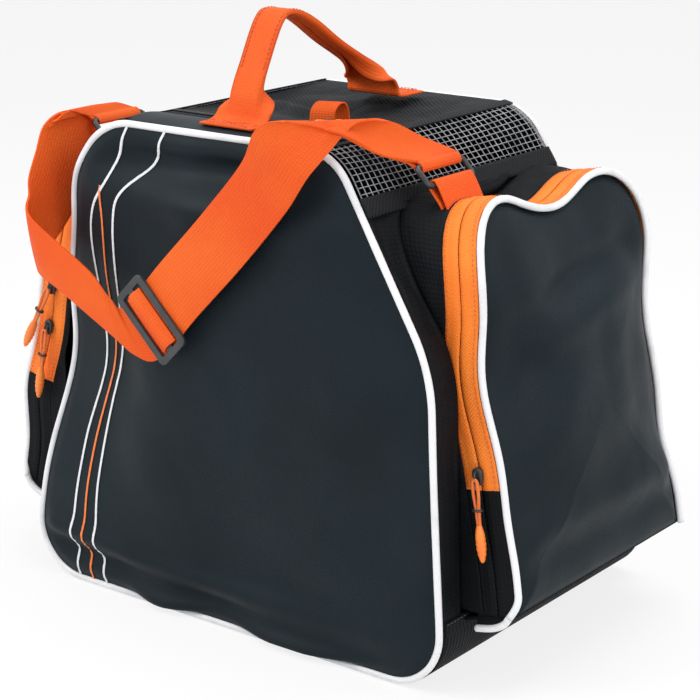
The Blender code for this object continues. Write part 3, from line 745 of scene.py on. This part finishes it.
def build_pinstripes():
    """Thin printed lines that lie on the front panel's cloth."""
    cloth = panel_points("front").reshape(-1, 3)
    for number, (route, half, ink) in enumerate(STRIPES):
        line = resample(spline(route, 24), 220)
        reach = normals_2d(line) * half
        rows = []
        for edge in (line - reach, line + reach):
            gap = np.linalg.norm(cloth[None, :, [0, 2]] - edge[:, None], axis=-1)
            near = np.argsort(gap, axis=1)[:, :6]
            weight = 1 / np.maximum(np.take_along_axis(gap, near, 1), 1e-5) ** 2
            depth = (cloth[near, 1] * weight).sum(axis=1) / weight.sum(axis=1)
            rows.append(joined(edge[:, 0], depth - 0.0007, edge[:, 1]))
        made = surface(f"pinstripe_{number + 1}", np.array(rows), thickness=0.0003)
        finish, slot = (WHITE_PRINT, "piping") if ink == "white" else (ORANGE_PRINT, "webbing")
        dress(made, finish, "bag", slot)


def sleeve(line, rows, front=None, back=None, gap=SEAM_DEPTH):
    """Cloth points along a line in (x, z), from the front seam to the back one or between two depths."""
    x, z = line[:, 0], line[:, 1]
    first = joined(x, front_at(x, z) + gap if front is None else front, z)
    last = joined(x, back_at(x, z) - gap if back is None else back, z)
    return between(first, last, rows)


def build_base():
    """The base tray, a bound edge along its lip, and the stiffener board inside it."""
    right = bell_stretch(0.0006, BASE_LIP_Z, 0.0, 40)
    flat = joined(np.linspace(-right[0, 0], right[0, 0], 62)[1:-1], 0.0003)
    line = np.vstack([right[::-1] * (-1, 1), flat, right])
    tray = surface("base_cloth", sleeve(line, 44), thickness=0.0028)
    dress(tray, BASE_FABRIC, "bag", "base_cloth", "base_tray")
    for side, word in SIDES:
        lip = sleeve(bell_stretch(BASE_LIP_Z - 0.004, BASE_LIP_Z + 0.007, -0.0012, 8) * (side, 1), 60)
        dress(surface(f"{word}_base_binding", lip, BINDING_SHEET), BASE_FABRIC, "bag", "base_cloth")
        top = lip[:, -2] + np.array((side * 0.0004, 0, 0))
        row = stitches(f"{word}_base_stitching", top, (side, 0, 0))
        dress(row, BLACK_THREAD, "bag", "base_cloth")
    board = frame["nodes"]["base_stiffener_board"]
    board.data.materials.clear()
    board.data.materials.append(BLACK_PLASTIC)


def net_line(count):
    """A shoulder's net in (x, z): up the slope and round the corner to the flat top."""
    line = bell_stretch(NET_FOOT_Z, TOP_Z - 0.0005, 0.0, 200)
    return resample(line, count)


def build_top():
    """The crown: coated front strip, ribbed top with a slack fold, the zip between them and its tab."""
    reach = net_line(3)[-1, 0] + 0.004
    cols, strip_rows, rows = 90, 16, 64
    line = joined(np.linspace(reach, -reach, cols), TOP_Z - 0.0008)
    strip = sleeve(line, strip_rows, back=TOP_ZIP_Y - TOP_ZIP_GAP)
    strip[..., 2] += 0.0025 * np.sin(np.linspace(0, math.pi, strip_rows))[:, None]
    dress(surface("top_front_cloth", strip), COATED, "bag", "coated_cloth", "top_front_strip")
    crown = sleeve(line, rows, front=TOP_ZIP_Y + TOP_ZIP_GAP)
    depth = np.linspace(0, 1, rows)[:, None]
    along = np.linspace(-1, 1, cols)[None]
    sag = -0.010 * np.sin(math.pi * depth) ** 1.4 * (1 - 0.5 * along**2)
    fold = 0.006 * hump(depth, 0.42 + 0.10 * along, 0.05) - 0.004 * hump(depth, 0.55 + 0.10 * along, 0.05)
    free = step(0, 0.12, depth) * step(1.0, 0.9, np.abs(along))
    crown[..., 2] += (sag + fold * hump(along, 0.35, 0.5)) * free
    crown = crumple(crown, amount=0.003, scale=22.0, seed=4.0)
    dress(surface("top_cloth", crown), RIBBED, "bag", "ribbed_cloth", "top_panel")
    tape = sleeve(line * (0.93, 1), 6, TOP_ZIP_Y - TOP_TAPE_HALF, TOP_ZIP_Y + TOP_TAPE_HALF)
    tape[..., 2] += 0.0006
    dress(surface("top_zip_cloth", tape, thickness=0.0008), LINING, "bag", "top_zip", "top_zip_tape")
    run = tape[3] + np.array((0, -0.0014, 0.0008))
    coil = tube("top_zip_coil", zigzag(run, reach=0.0016, pitch=0.0021), radius=0.0009, sides=6)
    dress(coil, BLACK_COIL, "bag", "top_zip")
    build_tab()


def zigzag(path, reach, pitch):
    """Points that step from side to side along a path on the level, as the turns of a zip's coil do."""
    count = int(run_along(path)[-1] / pitch) * 2
    line = resample(path, count)
    line[:, 1] += np.where(np.arange(count) % 2, reach, -reach)
    return line


def build_tab():
    """A short folded loop of webbing that stands on the top cloth."""
    middle = middle_of("top_zip_tab")
    knots = [(0, -0.010, -0.008), (0, -0.0085, 0.004), (0, -0.002, 0.0095)]
    knots += [(0, 0.005, 0.0090), (0, 0.009, 0.0020), (0, 0.010, -0.010)]
    path = spline(np.array(knots) + (middle[0], middle[1], TOP_Z - 0.003), 8)
    tab = ribbon("top_tab_webbing", path, (0.90, 0.35, 0.0), width=0.020, thickness=0.0016)
    dress(tab, WEB, "bag", "webbing", "top_zip_tab")


def build_net(side, word):
    """An open knotted net over the shoulder, bound along its upper and lower edge."""
    cols, rows = 13, 36
    points = slump(sleeve(net_line(cols) * (side, 1), rows, gap=0.0075))
    bow = np.sin(np.linspace(0, math.pi, cols))[None] * np.sin(np.linspace(0, math.pi, rows))[:, None]
    points = points - grid_normals(points) * (0.006 * bow)[..., None]
    net = surface(f"{word}_net", points, 0.0)
    cords = net.modifiers.new("cords", "WIREFRAME")
    cords.thickness = 0.0011
    cords.use_even_offset = False
    dress(net, NET, "bag", "net", f"{word}_net_panel")
    lower = bell_stretch(NET_FOOT_Z - 0.006, NET_FOOT_Z + 0.007, -0.0010, 8)
    upper = net_line(60)[-9:] + (0, 0.0010)
    for place, edge in (("lower", lower), ("upper", upper)):
        cloth = slump(sleeve(edge * (side, 1), 60))
        dress(surface(f"{word}_net_{place}_binding", cloth, BINDING_SHEET), RIBBED, "bag", "ribbed_cloth")


def mouth_line(side, count):
    """The arch of a boot compartment's mouth on the bag's end, in (y, z), and the seam round it."""
    line, _ = arch(side, -0.0022, count)
    height = on_door(1, *line.T, -2 * TAPE_WIDTH)[:, 2]
    top = NET_FOOT_Z - 0.0015
    height = height + (BASE_LIP_Z + 0.002 - height) * np.where(line[:, 1] < 0.012, 1 - line[:, 1] / 0.012, 0)
    mouth = joined(line[:, 0], np.minimum(height, top - 0.002))
    level = DOOR_Z + (DOOR_HEIGHT - DOOR_RADIUS) * math.cos(DOOR_TILT)
    core_y = np.clip(mouth[:, 0], DOOR_FRONT_U + DOOR_RADIUS, DOOR_BACK_TOP_U - DOOR_RADIUS)
    core = joined(core_y, np.minimum(mouth[:, 1], level))
    ray = mouth - core
    ray /= np.abs(ray).max(axis=1, keepdims=True)
    rim_z = core[:, 1] + ray[:, 1] * (top - core[:, 1])
    x = side * half_width(rim_z)
    edge = np.where(ray[:, 0] < 0, front_at(x, rim_z) + SEAM_DEPTH, back_at(x, rim_z) - SEAM_DEPTH)
    return mouth, joined(core[:, 0] + np.abs(ray[:, 0]) * (edge - core[:, 0]), rim_z)


def build_end(side, word):
    """The cloth round the mouth of a boot compartment, and the collar that carries the zip out from it."""
    flat = between(*mouth_line(side, 170), 16)
    points = joined(side * half_width(flat[..., 1]), flat[..., 0], flat[..., 1])
    points = slump(crumple(points, amount=0.0035, scale=26.0, seed=5.0 + side, fade=0.2))
    dress(surface(f"{word}_end_cloth", points), DOBBY, "bag", "dobby_cloth", f"{word}_end_wall")
    line, place = arch(side, 0.0006, 170)
    outer = on_door(side, *line.T, -2 * TAPE_WIDTH + billow(side, place))
    reach = np.minimum(half_width(outer[:, 2]) - 0.004, np.abs(outer[:, 0]) - 0.006)
    inner = outer.copy()
    inner[:, 0] = side * reach
    collar = crumple(between(inner, outer, 12), amount=0.003, scale=30.0, seed=8.0 + side, fade=0.25)
    dress(surface(f"{word}_collar_cloth", collar), DOBBY, "bag", "dobby_cloth", f"{word}_compartment_collar")


def build_inside(side, word):
    """The soft divider beside a boot compartment, and the compartment's sill."""
    low, high = box_of(f"{word}_divider")
    line = joined((low[0] + high[0]) / 2, np.linspace(low[2], high[2], 30))
    points = sleeve(line, 30, gap=0.009)
    points[..., 0] += side * 0.004 * wander(points, scale=9.0, seed=11.0)
    dress(surface(f"{word}_divider_cloth", points, BASE_SHEET), LINING, "bag", "lining", f"{word}_divider")
    lip = half_width(BASE_LIP_Z + 0.001) - 0.001
    foot = on_door(1, 0.0, 0.0, 0.0004)
    line = np.linspace((side * lip, BASE_LIP_Z + 0.0010), (side * foot[0], foot[2]), 14)
    points = sleeve(line, 60, front=DOOR_FRONT_U + 0.001, back=DOOR_BACK_U - 0.001)
    sill = surface(f"{word}_sill_cloth", points, BASE_SHEET)
    dress(sill, BASE_FABRIC, "bag", "base_cloth", f"{word}_compartment_sill")
    build_sill_end(side, word)


def build_sill_end(side, word):
    """A gusset at the sill's front end, edged by a tail of piping that curls in from the door's foot."""
    foot = on_door(1, DOOR_FRONT_U + PIPING_R - CURL_FORWARD, 0.0, DOOR_PIPING_W - CURL_IN)
    curl = ((0, 0, 0), (-0.0045, 0.0004, -0.0062), (-0.0140, 0.0010, -0.0118), (-0.0285, 0.0012, -0.0155))
    tail = spline((foot + np.array(curl)) * (side, 1, 1), 12)
    dress(tube(f"{word}_sill_piping", tail, PIPING_R * 0.97), VINYL, "bag", "piping")
    upper = tail.copy()
    upper[:, 1] = DOOR_FRONT_U + 0.0030
    upper[:, 2] = foot[2] + 0.002
    gusset = surface(f"{word}_sill_gusset", between(upper, tail, 8), BINDING_SHEET)
    dress(gusset, DOBBY, "bag", "dobby_cloth")


# Boot compartment doors

def build_door(side, word):
    """A door's bellied panel, its piping, and the two halves of its zip with their coils."""
    body = f"{word}_door"
    inner, place = arch(side, 2 * PIPING_R - 0.0006, 190)
    foot = np.linspace(inner[-1], inner[0], 52)[1:-1]
    outline = np.vstack([inner, foot])
    edge_out = np.concatenate([billow(side, place), np.zeros(50)])
    flat, share = disc(outline, 44)
    u, v = flat[..., 0], flat[..., 1]
    share = share[:, None]
    w = CLOTH * 0.6 + DOOR_BULGE * (1 - share**2.2) + edge_out[None] * share**3
    dents = -0.009 * hump(v, 0.175, 0.030) * hump(u, -0.085, 0.035)
    dents = dents + 0.005 * hump(v, 0.120, 0.040) * hump(u, -0.050, 0.050)
    fold = -0.007 * hump(v - 0.20 * u, 0.225, 0.012) + 0.005 * hump(v - 0.20 * u, 0.200, 0.014)
    low = -0.006 * hump(v, 0.030, 0.014) + 0.004 * hump(v, 0.058, 0.016)
    spots = joined(u, 9.0 + side, v)
    free = step(0.02, 0.30, 1 - share)
    slack = 0.005 * wander(spots, scale=11.0, seed=3.0)
    w = w + (dents + fold * hump(u, 0.0, 0.09) + low + slack) * free
    w = w - 0.0020 * hump(share, 1.0, 0.03)
    points = on_door(side, u, v, w)
    cloth = surface(f"{word}_door_cloth", points, closed=True, uv=flat)
    dress(cloth, COATED, body, "coated_cloth", f"{word}_door_panel")
    line, place = arch(side, PIPING_R, 240)
    curl = np.clip(1 - line[:, 1] / 0.016, 0, 1) ** 2 * (place < 0.5)
    w = DOOR_PIPING_W + billow(side, place) - CURL_IN * curl
    path = on_door(side, line[:, 0] - CURL_FORWARD * curl, line[:, 1], w)
    dress(piping(f"{word}_door_edge_piping", path, 6.0), VINYL, body, "piping", f"{word}_door_piping")
    depths = (TAPE_GAP - TAPE_WIDTH, TAPE_GAP)
    zip_half(side, f"{word}_door", body, depths, COIL_GAP - TAPE_WIDTH)
    depths = (-2 * TAPE_WIDTH, -TAPE_WIDTH - TAPE_GAP)
    zip_half(side, f"{word}_bag", "bag", depths, -TAPE_WIDTH - COIL_GAP)


def zip_half(side, half, body, depths, teeth):
    """Half of a zip: a band of tape along the arch with its row of coil, and a row of stitching."""
    name = f"{half}_tape"
    deep, proud = depths
    line, place = arch(side, 0.0, 260)
    outward = normals_2d(line)
    w = np.linspace(deep, proud, 7)[:, None]
    near = (w - teeth) / (proud - deep)
    crown = 0.0012 * (1 - np.clip(np.abs(near) * 1.6, 0, 1) ** 2) - 0.0010 * hump(near, 0.0, 0.10) - 0.0008
    wave = billow(side, place)[None]
    flat = line[None] + outward[None] * crown[..., None]
    points = on_door(side, flat[..., 0], flat[..., 1], w + wave)
    zipped = np.flatnonzero(line[:, 1] > ZIP_END)
    first, last = zipped[0], zipped[-1]
    tape = surface(name, points[:, first:last + 1], thickness=0.0009)
    dress(tape, TAPE, body, "zip_tape", f"{half}_zip_tape")
    for word, leg in (("front", points[:, :first + 1]), ("back", points[:, last:])):
        dress(surface(f"{name}_{word}_foot", leg, BINDING_SHEET), DOBBY, body, "dobby_cloth")
    row = line - outward * 0.0010
    coil = on_door(side, *row.T, teeth + wave[0])
    for word, teeth_line, count, finish in (("coil", coil[first:last + 1], 620, COIL_WITH_SLIT_SHADE),
                                            ("front_foot_coil", coil[:first + 1], 120, BLACK_COIL),
                                            ("back_foot_coil", coil[last:], 120, BLACK_COIL)):
        swell = 0.00070 + 0.0002 * np.cos(np.arange(count) * math.pi / 2)
        beads = tube(f"{name}_{word}", resample(teeth_line, count), swell, sides=6)
        dress(beads, finish, body, "zip_tape" if finish is COIL_WITH_SLIT_SHADE else "top_zip")
    seam = deep + 0.0022 if proud < -0.004 else proud - 0.0022
    row = line + outward * 0.0002
    sewn = slice(first, last + 1)
    thread_line = on_door(side, *row.T, seam + wave[0])[sewn]
    face = on_door(side, *outward.T, 0.0)[sewn] - on_door(side, 0.0, 0.0, 0.0)
    sewing = stitches(f"{name}_stitching", thread_line, face, pitch=0.0036, length=0.0024, radius=0.0003)
    dress(sewing, RED_THREAD, body, "zip_tape")


# Zip sliders and pulls

def slider_rings():
    """Rings of points over a slider lying on its zip: a tapered shield, along +Y, facing +Z."""
    outline = [(0.0, 0.0072), (0.0034, 0.0060), (0.0044, 0.0030)]
    outline += [(0.0040, -0.0020), (0.0026, -0.0058), (0.0, -0.0068)]
    outline += [(-x, y) for x, y in reversed(outline[1:-1])]
    levels = ((-0.0024, 0.90), (-0.0016, 1.0), (0.0004, 1.0), (0.0012, 0.92), (0.0015, 0.70))
    return np.array([[(x * share, y * share, height) for x, y in outline] for height, share in levels])


def build_zip_pulls():
    """Each zip's slider with a bridge over it, and the pull that hangs from the bridge."""
    for name in ("right_front", "right_back", "left_upper", "left_lower", "top"):
        seat = middle_of(f"{name}_slider")
        run = np.array(JOINTS[f"{name}_zip_run"]["axis"])
        swing = JOINTS[f"{name}_pull_swing"]
        pin = np.array(swing["pos_m"])
        out = unit(pin - seat)
        hang = unit(np.cross(out, swing["axis"]))
        body = skin(f"{name}_slider_body", slider_rings())
        body.data.transform(placed(seat, np.cross(run, out), run, out))
        smooth = body.modifiers.new("round", "SUBSURF")
        smooth.levels = smooth.render_levels = 2
        dress(body, BLACK_PLASTIC, f"{name}_slider", "hardware", f"{name}_slider")
        bridge = [(-0.0052, 0.0006), (-0.0046, 0.0032), (-0.0010, 0.0044)]
        bridge += [(0.0030, 0.0036), (0.0044, 0.0006)]
        path = in_plane(spline(bridge, 6), seat, run, out)
        loop = tube(f"{name}_slider_bridge", path, radius=0.0009, sides=8)
        dress(loop, BLACK_PLASTIC, f"{name}_slider", "hardware")
        build_pull(name, pin, hang, np.cross(hang, out))


def build_pull(name, pin, hang, across):
    """A twisted loop of cord through the slider's bridge, a dark keeper ring and a ribbed moulded grip."""
    body = f"{name}_pull"
    length = np.dot(middle_of(f"{name}_pull_grip") - pin, hang)
    half = np.dot(np.ptp(box_of(f"{name}_pull_grip"), axis=0), np.abs(hang)) / 2
    start = length - half
    knots = [(0.0, 0.0), (0.06, 0.0019), (0.30, 0.0021), (0.62, 0.0012), (1.0, 0.0007)]
    side = [(start * s + 0.001, reach) for s, reach in knots]
    line = [(a, -b) for a, b in reversed(side[1:])] + side
    path = in_plane(spline(line, 8), pin, hang, across)
    cord = tube(f"{name}_pull_loop", path, radius=0.00125, sides=8)
    dress(cord, BRAID, body, "pull_cord", f"{name}_pull_cord")
    ring_at = pin + hang * start * 0.66
    angle = np.linspace(0, 2 * math.pi, 28, endpoint=False)
    out = np.cross(across, hang)
    ring = in_plane(joined(np.cos(angle), np.sin(angle)), ring_at, across * 0.0036, out * 0.0022)
    keeper = tube(f"{name}_pull_keeper", ring, radius=0.0009, closed=True, sides=8)
    dress(keeper, BLACK_PLASTIC, body, "hardware")
    t = np.linspace(0, 1, 60)
    ribs = (0.5 + 0.5 * np.cos(t * 2 * math.pi * 7)) * step(0.25, 0.35, t) * step(0.95, 0.85, t)
    profile = np.sin(math.pi * (0.10 + 0.88 * t)) ** 0.55 * (0.0036 + 0.0006 * t) * (1 - 0.10 * ribs)
    line = pin + hang * (start - 0.001 + (2 * half + 0.001) * t)[:, None]
    grip = tube(f"{name}_pull_mould", line, profile, sides=14)
    dress(grip, RUBBER, body, "pull_grip", f"{name}_pull_grip")


# Webbing

HANDLE_FLAP = 0.0118       # how much of each edge turns under
HANDLE_ROUTE = (           # (y, z above the top cloth, how far the edges are turned under)
    (-0.139, 0.0030, 0.0), (-0.128, 0.0033, 0.0), (-0.1205, 0.0062, 0.0), (-0.1180, 0.0130, 0.10),
    (-0.1160, 0.0220, 0.42), (-0.1115, 0.0325, 0.82), (-0.1040, 0.0460, 1.0), (-0.0945, 0.0640, 1.0),
    (-0.0865, 0.0760, 1.0), (-0.0780, 0.0815, 1.0), (-0.0640, 0.0800, 1.0), (-0.0450, 0.0710, 1.0),
    (-0.0180, 0.0540, 1.0), (0.0080, 0.0400, 0.95), (0.0280, 0.0300, 0.55), (0.0400, 0.0220, 0.20),
    (0.0430, 0.0120, 0.05), (0.0425, 0.0050, 0.0), (0.0500, 0.0032, 0.0), (0.0620, 0.0030, 0.0),
    (0.0760, 0.0030, 0.0),
)


def build_handle():
    """The carry handle: webbing sewn down at both ends, its edges turned under along the grip."""
    route = spline(HANDLE_ROUTE, 7)
    path = joined(0.0, route[:, 0], TOP_Z + route[:, 1])
    under = np.cross(directions(path), (1.0, 0.0, 0.0))
    fold = np.clip(route[:, 2], 0, 1)
    half = WEBBING / 2
    crease = half - HANDLE_FLAP
    edge = np.linspace(crease, half, 6)
    across = np.concatenate([-edge[::-1], np.linspace(-crease, crease, 7)[1:-1], edge])
    flap = np.maximum(np.abs(across) - crease, 0)
    angle = 0.97 * math.pi * fold[:, None]
    spread = np.sign(across) * (np.minimum(np.abs(across), crease) + flap * np.cos(angle))
    down = flap * np.sin(angle) + 0.0024 * fold[:, None] * np.minimum(flap / 0.002, 1)
    points = path[:, None] + spread[..., None] * np.array((1.0, 0.0, 0.0)) + under[:, None] * down[..., None]
    uv = joined(across, run_along(path)[:, None])
    made = surface("carry_handle_webbing", points, 0.0, uv=uv)
    thicken(made, WEBBING_THICK, 0.0)
    dress(made, WEB, None, "webbing", "carry_handle_loop", "handle_front_patch", "handle_back_patch")
    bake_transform(made)
    grip = fold > 0.93
    for side, word in SIDES:
        row = path[grip] - under[grip] * 0.0011 + np.array((side * (crease - 0.0025), 0, 0))
        seam = stitches(f"handle_{word}_seam", row, -under[grip], pitch=0.0038, length=0.0026, radius=0.0004)
        dress(seam, RED_THREAD, "carry_handle", "webbing")
    for word, near, far in (("front", -0.1235, -0.1375), ("back", 0.0510, 0.0745)):
        box_stitch(f"handle_{word}_stitching", near, far)


def box_stitch(name, near, far):
    """A sewn box with a cross in it, on a flat end of the handle."""
    half = WEBBING / 2 - 0.004
    level = TOP_Z + 0.0047
    corners = np.array([(-half, near, level), (half, near, level), (half, far, level), (-half, far, level)])
    pairs = ((0, 1), (1, 2), (2, 3), (3, 0), (0, 2), (1, 3))
    for number, pair in enumerate(pairs):
        path = resample(corners[list(pair)], 8)
        row = stitches(f"{name}_{number + 1}", path, (0, 0, 1), pitch=0.0034, length=0.0024, radius=0.0004)
        dress(row, RED_THREAD, "bag", "webbing")


STRAP_ROUTE_SHARES = (     # middle of the strap in shares of half width, half depth and height; way across
    ((0.649, -0.640, 0.990), (0.05, 1.00, 0.10)),
    ((0.568, -0.827, 1.033), (0.30, 1.00, 0.05)),
    ((0.497, -1.013, 1.046), (0.65, 0.80, -0.10)),
    ((0.421, -1.153, 1.000), (0.85, 0.30, -0.55)),
    ((0.314, -1.147, 0.923), (0.75, 0.00, -0.66)),
    ((0.122, -1.147, 0.816), (0.73, 0.00, -0.68)),
    ((-0.102, -1.147, 0.702), (0.73, 0.00, -0.68)),
    ((-0.294, -1.147, 0.602), (0.73, 0.00, -0.68)),
    ((-0.381, -1.167, 0.607), (0.55, 0.00, -0.84)),
    ((-0.497, -1.180, 0.648), (0.40, 0.00, -0.92)),
    ((-0.766, -1.173, 0.714), (0.36, 0.00, -0.93)),
    ((-0.863, -1.147, 0.730), (0.22, 0.05, -0.97)),
    ((-0.929, -1.087, 0.742), (0.05, 0.15, -0.98)),
    ((-0.949, -1.000, 0.768), (0.02, 0.40, -0.92)),
    ((-0.934, -0.933, 0.816), (0.20, 0.70, -0.69)),
    ((-0.914, -0.860, 0.880), (0.30, 0.85, -0.43)),
    ((-0.919, -0.780, 0.949), (0.20, 0.96, -0.17)),
    ((-0.914, -0.653, 0.982), (0.05, 1.00, 0.00)),
)
DEPTHWAYS = np.array((0.0, 1.0, 0.0))
RING_LEAN = unit(np.array((-0.70, 0.0, 0.72)))


def ring_bars(word):
    """The middle of a strap ring's bar in its anchor, and of its bar in the strap."""
    low, high = box_of(f"{word}_strap_ring")
    y = (low[1] + high[1]) / 2
    near = np.array((high[0] - RING_WIRE, y, low[2] + RING_WIRE))
    return near, np.array((low[0] + RING_WIRE, y, high[2] - RING_WIRE))


def build_strap():
    """The shoulder strap, looped through a ring at each end and doubled back on itself."""
    scale = np.array((SHOULDER_HALF, -FRONT_Y, TOP_Z))
    places, ways = np.array(STRAP_ROUTE_SHARES).transpose(1, 0, 2)
    right, left = ring_bars("right")[1], ring_bars("left")[1]
    lift = RING_LEAN * 0.0042
    path = spline(np.vstack([right + lift, places * scale, left + lift]), 9)
    across = spline(np.vstack([DEPTHWAYS, ways, DEPTHWAYS]), 9)
    strap = ribbon("shoulder_strap_webbing", path, across, WEBBING, WEBBING_THICK, camber=0.0010)
    dress(strap, WEB, None, "webbing", "shoulder_strap")
    swing_by_depth(strap)
    for word, end, at in (("right", right, path[:22]), ("left", left, path[::-1][:18])):
        loop = strap_end(word, end, at)
        dress(loop, WEB, None, "webbing")
        swing_by_depth(loop)
    for side, word in SIDES:
        build_ring(side, word)
    build_adjuster()


def swing_by_depth(piece):
    """Bakes the webbing's placement into its mesh."""
    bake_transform(piece)


def strap_end(word, bar, line):
    """The turned-back end of the strap: round the ring's bar and along under the strap."""
    face = np.cross(directions(line), DEPTHWAYS)
    face *= np.where(face[:, 2:3] > 0, -1, 1)
    under = line + face * 0.0030
    first = unit(line[0] - bar)
    angles = np.linspace(0.5, math.pi + 1.2, 12)
    turn = in_plane(joined(np.cos(angles), np.sin(angles)), bar, first * 0.0036, face[0] * -0.0036)
    path = np.vstack([line[0] - face[0] * 0.0004, turn, under[2:]])
    return ribbon(f"{word}_strap_end_webbing", path, DEPTHWAYS, WEBBING - 0.002, WEBBING_THICK)


def build_ring(side, word):
    """A rectangular ring with round bars, and the webbing tab that holds it to the bag."""
    near, far = ring_bars(word)
    middle = (near + far) / 2
    reach = (far - near) / 2
    half = np.ptp(box_of(f"{word}_strap_ring")[:, 1]) / 2 - RING_WIRE
    long = np.linalg.norm(reach)
    outline = resample(rounded_box(0.0, half, long, 0.0042), 90, True)
    path = in_plane(outline, middle, DEPTHWAYS, reach / long)
    ring = tube(f"{word}_ring_wire", path, radius=0.0022, closed=True)
    dress(ring, BLACK_PLASTIC, "bag", "hardware", f"{word}_strap_ring")
    low, _ = box_of(f"{word}_strap_anchor")
    foot = np.array((near[0] + side * 0.012, near[1], low[2] - 0.001))
    back = foot + (side * 0.0035, 0, 0)
    up = near - foot
    knots = [foot, foot + up * 0.45 + (-side * 0.001, 0, 0), near + (-side * 0.0034, 0, -0.002)]
    knots += [near + (-side * 0.0008, 0, 0.0034), near + (side * 0.0034, 0, 0.0006)]
    knots += [back + up * 0.42 + (side * 0.001, 0, 0), back]
    tab = ribbon(f"{word}_anchor_webbing", spline(knots, 8), DEPTHWAYS, WEBBING - 0.004, WEBBING_THICK)
    dress(tab, WEB, "bag", "webbing", f"{word}_strap_anchor")


def build_adjuster():
    """The three-bar slide, with the webbing's turn over its middle bar."""
    middle = middle_of("strap_adjuster")
    along = np.array(JOINTS["adjuster_run"]["axis"])
    out = np.array((0.0, -1.0, 0.0))
    across = np.cross(along, out)
    bar, slot_half, wide = 0.0045, 0.00475, WEBBING / 2 + 0.0075
    long = 2 * slot_half + 1.5 * bar
    curve = bpy.data.curves.new("strap_slide", "CURVE")
    curve.dimensions = "2D"
    curve.fill_mode = "BOTH"
    curve.extrude = 0.0008
    curve.bevel_depth = 0.0006
    curve.bevel_resolution = 3
    boxes = [(0.0, wide, long, 0.0045)]
    boxes += [(way * (slot_half + bar / 2), wide - bar, slot_half, 0.0015) for way in (-1, 1)]
    for box in boxes:
        outline = rounded_box(*box)
        line = curve.splines.new("POLY")
        line.points.add(len(outline) - 1)
        for spot, point in zip(line.points, outline):
            spot.co = (*point, 0.0, 1.0)
        line.use_cyclic_u = True
    made = linked("strap_slide", curve)
    made.matrix_world = placed(middle, across, along, out)
    dress(made, GREY_PLASTIC, "adjuster", "hardware", "strap_adjuster")
    rise = [(0.0085, 0.0004), (0.0060, 0.0008), (0.0030, 0.0030)]
    hop = [(-a, b) for a, b in rise] + [(0.0, 0.0036)] + rise[::-1]
    path = in_plane(spline(hop, 5), middle - out * 0.0008, along, out)
    turn_over = ribbon("strap_slide_webbing", path, across, WEBBING, thickness=0.0014)
    dress(turn_over, WEB, "adjuster", "webbing")


# Camera, floor and light

def build_camera():
    """The camera, level with its horizon, at the place fitted to the photograph."""
    data = bpy.data.cameras.new("camera")
    data.lens = LENS
    data.sensor_width = 36.0
    camera = linked("camera", data)
    level = math.cos(ELEVATION)
    back = Vector((math.sin(AZIMUTH) * level, -math.cos(AZIMUTH) * level, math.sin(ELEVATION)))
    right = Vector((math.cos(AZIMUTH), math.sin(AZIMUTH), 0.0))
    camera.matrix_world = placed(CAMERA_AT, right, back.cross(right), back)
    bpy.context.scene.camera = camera


WHITE = (1.0, 1.0, 1.0, 1.0)


def show_white(tree, shaded, share, output):
    """Lets the camera, and mirrors and glass, see a shader partly as plain white."""
    rays = add_node(tree, "ShaderNodeLightPath").outputs
    seen = rays["Is Camera Ray"]
    for kind in ("Is Glossy Ray", "Is Transmission Ray"):
        links = [(0, seen), (1, rays[kind])]
        seen = add_node(tree, "ShaderNodeMath", links, operation="MAXIMUM").outputs["Value"]
    part = add_node(tree, "ShaderNodeMath", [(0, seen)], operation="MULTIPLY")
    part.inputs[1].default_value = share
    plain = add_node(tree, "ShaderNodeEmission", Color=WHITE)
    links = [("Fac", part.outputs["Value"]), (1, shaded), (2, plain.outputs["Emission"])]
    shown = add_node(tree, "ShaderNodeMixShader", links)
    tree.links.new(shown.outputs["Shader"], tree.nodes[output].inputs["Surface"])


def build_stage():
    """A wide pale floor under a plain white sky."""
    mesh = bpy.data.meshes.new("floor")
    reach = 60.0
    corners = [(-reach, -reach, 0), (reach, -reach, 0), (reach, reach, 0), (-reach, reach, 0)]
    mesh.from_pydata(corners, [], [(0, 1, 2, 3)])
    floor = linked("floor", mesh)
    floor.location.z = -0.0008
    paint = Finish("pale_floor", 0.9, base_color=(0.93, 0.93, 0.93, 1.0))
    show_white(paint.tree, paint.shader.outputs["BSDF"], 0.80, "Material Output")
    mesh.materials.append(paint.material)
    world = bpy.data.worlds.new("studio")
    world.use_nodes = True
    sky = world.node_tree.nodes["Background"]
    sky.inputs["Color"].default_value = WHITE
    sky.inputs["Strength"].default_value = 0.55
    show_white(world.node_tree, sky.outputs["Background"], 1.0, "World Output")
    bpy.context.scene.world = world


def lamp(name, place, aim, size, power):
    """A square lamp that looks at a point."""
    data = bpy.data.lights.new(name, "AREA")
    data.size = size
    data.energy = power
    made = linked(name, data)
    made.location = place
    made.rotation_euler = (Vector(place) - Vector(aim)).to_track_quat("Z", "Y").to_euler()


def build_lights():
    """Key light from the left, fill from the right and a soft one above."""
    lamp("key", (-0.9, -1.3, 1.6), aim=(0.0, 0.0, 0.2), size=1.0, power=22)
    lamp("fill", (1.7, -0.6, 0.9), aim=(0.1, 0.0, 0.2), size=1.0, power=12)
    lamp("top", (0.2, 0.3, 1.9), aim=(0.0, 0.0, 0.2), size=1.2, power=16)


build_camera()
build_stage()
build_lights()
build_panels()
build_base()
build_top()
for bag_side, side_word in SIDES:
    build_net(bag_side, side_word)
    build_end(bag_side, side_word)
    build_inside(bag_side, side_word)
    build_door(bag_side, side_word)
build_zip_pulls()
build_handle()
build_strap()

bpy.context.scene.view_settings.view_transform = "Standard"
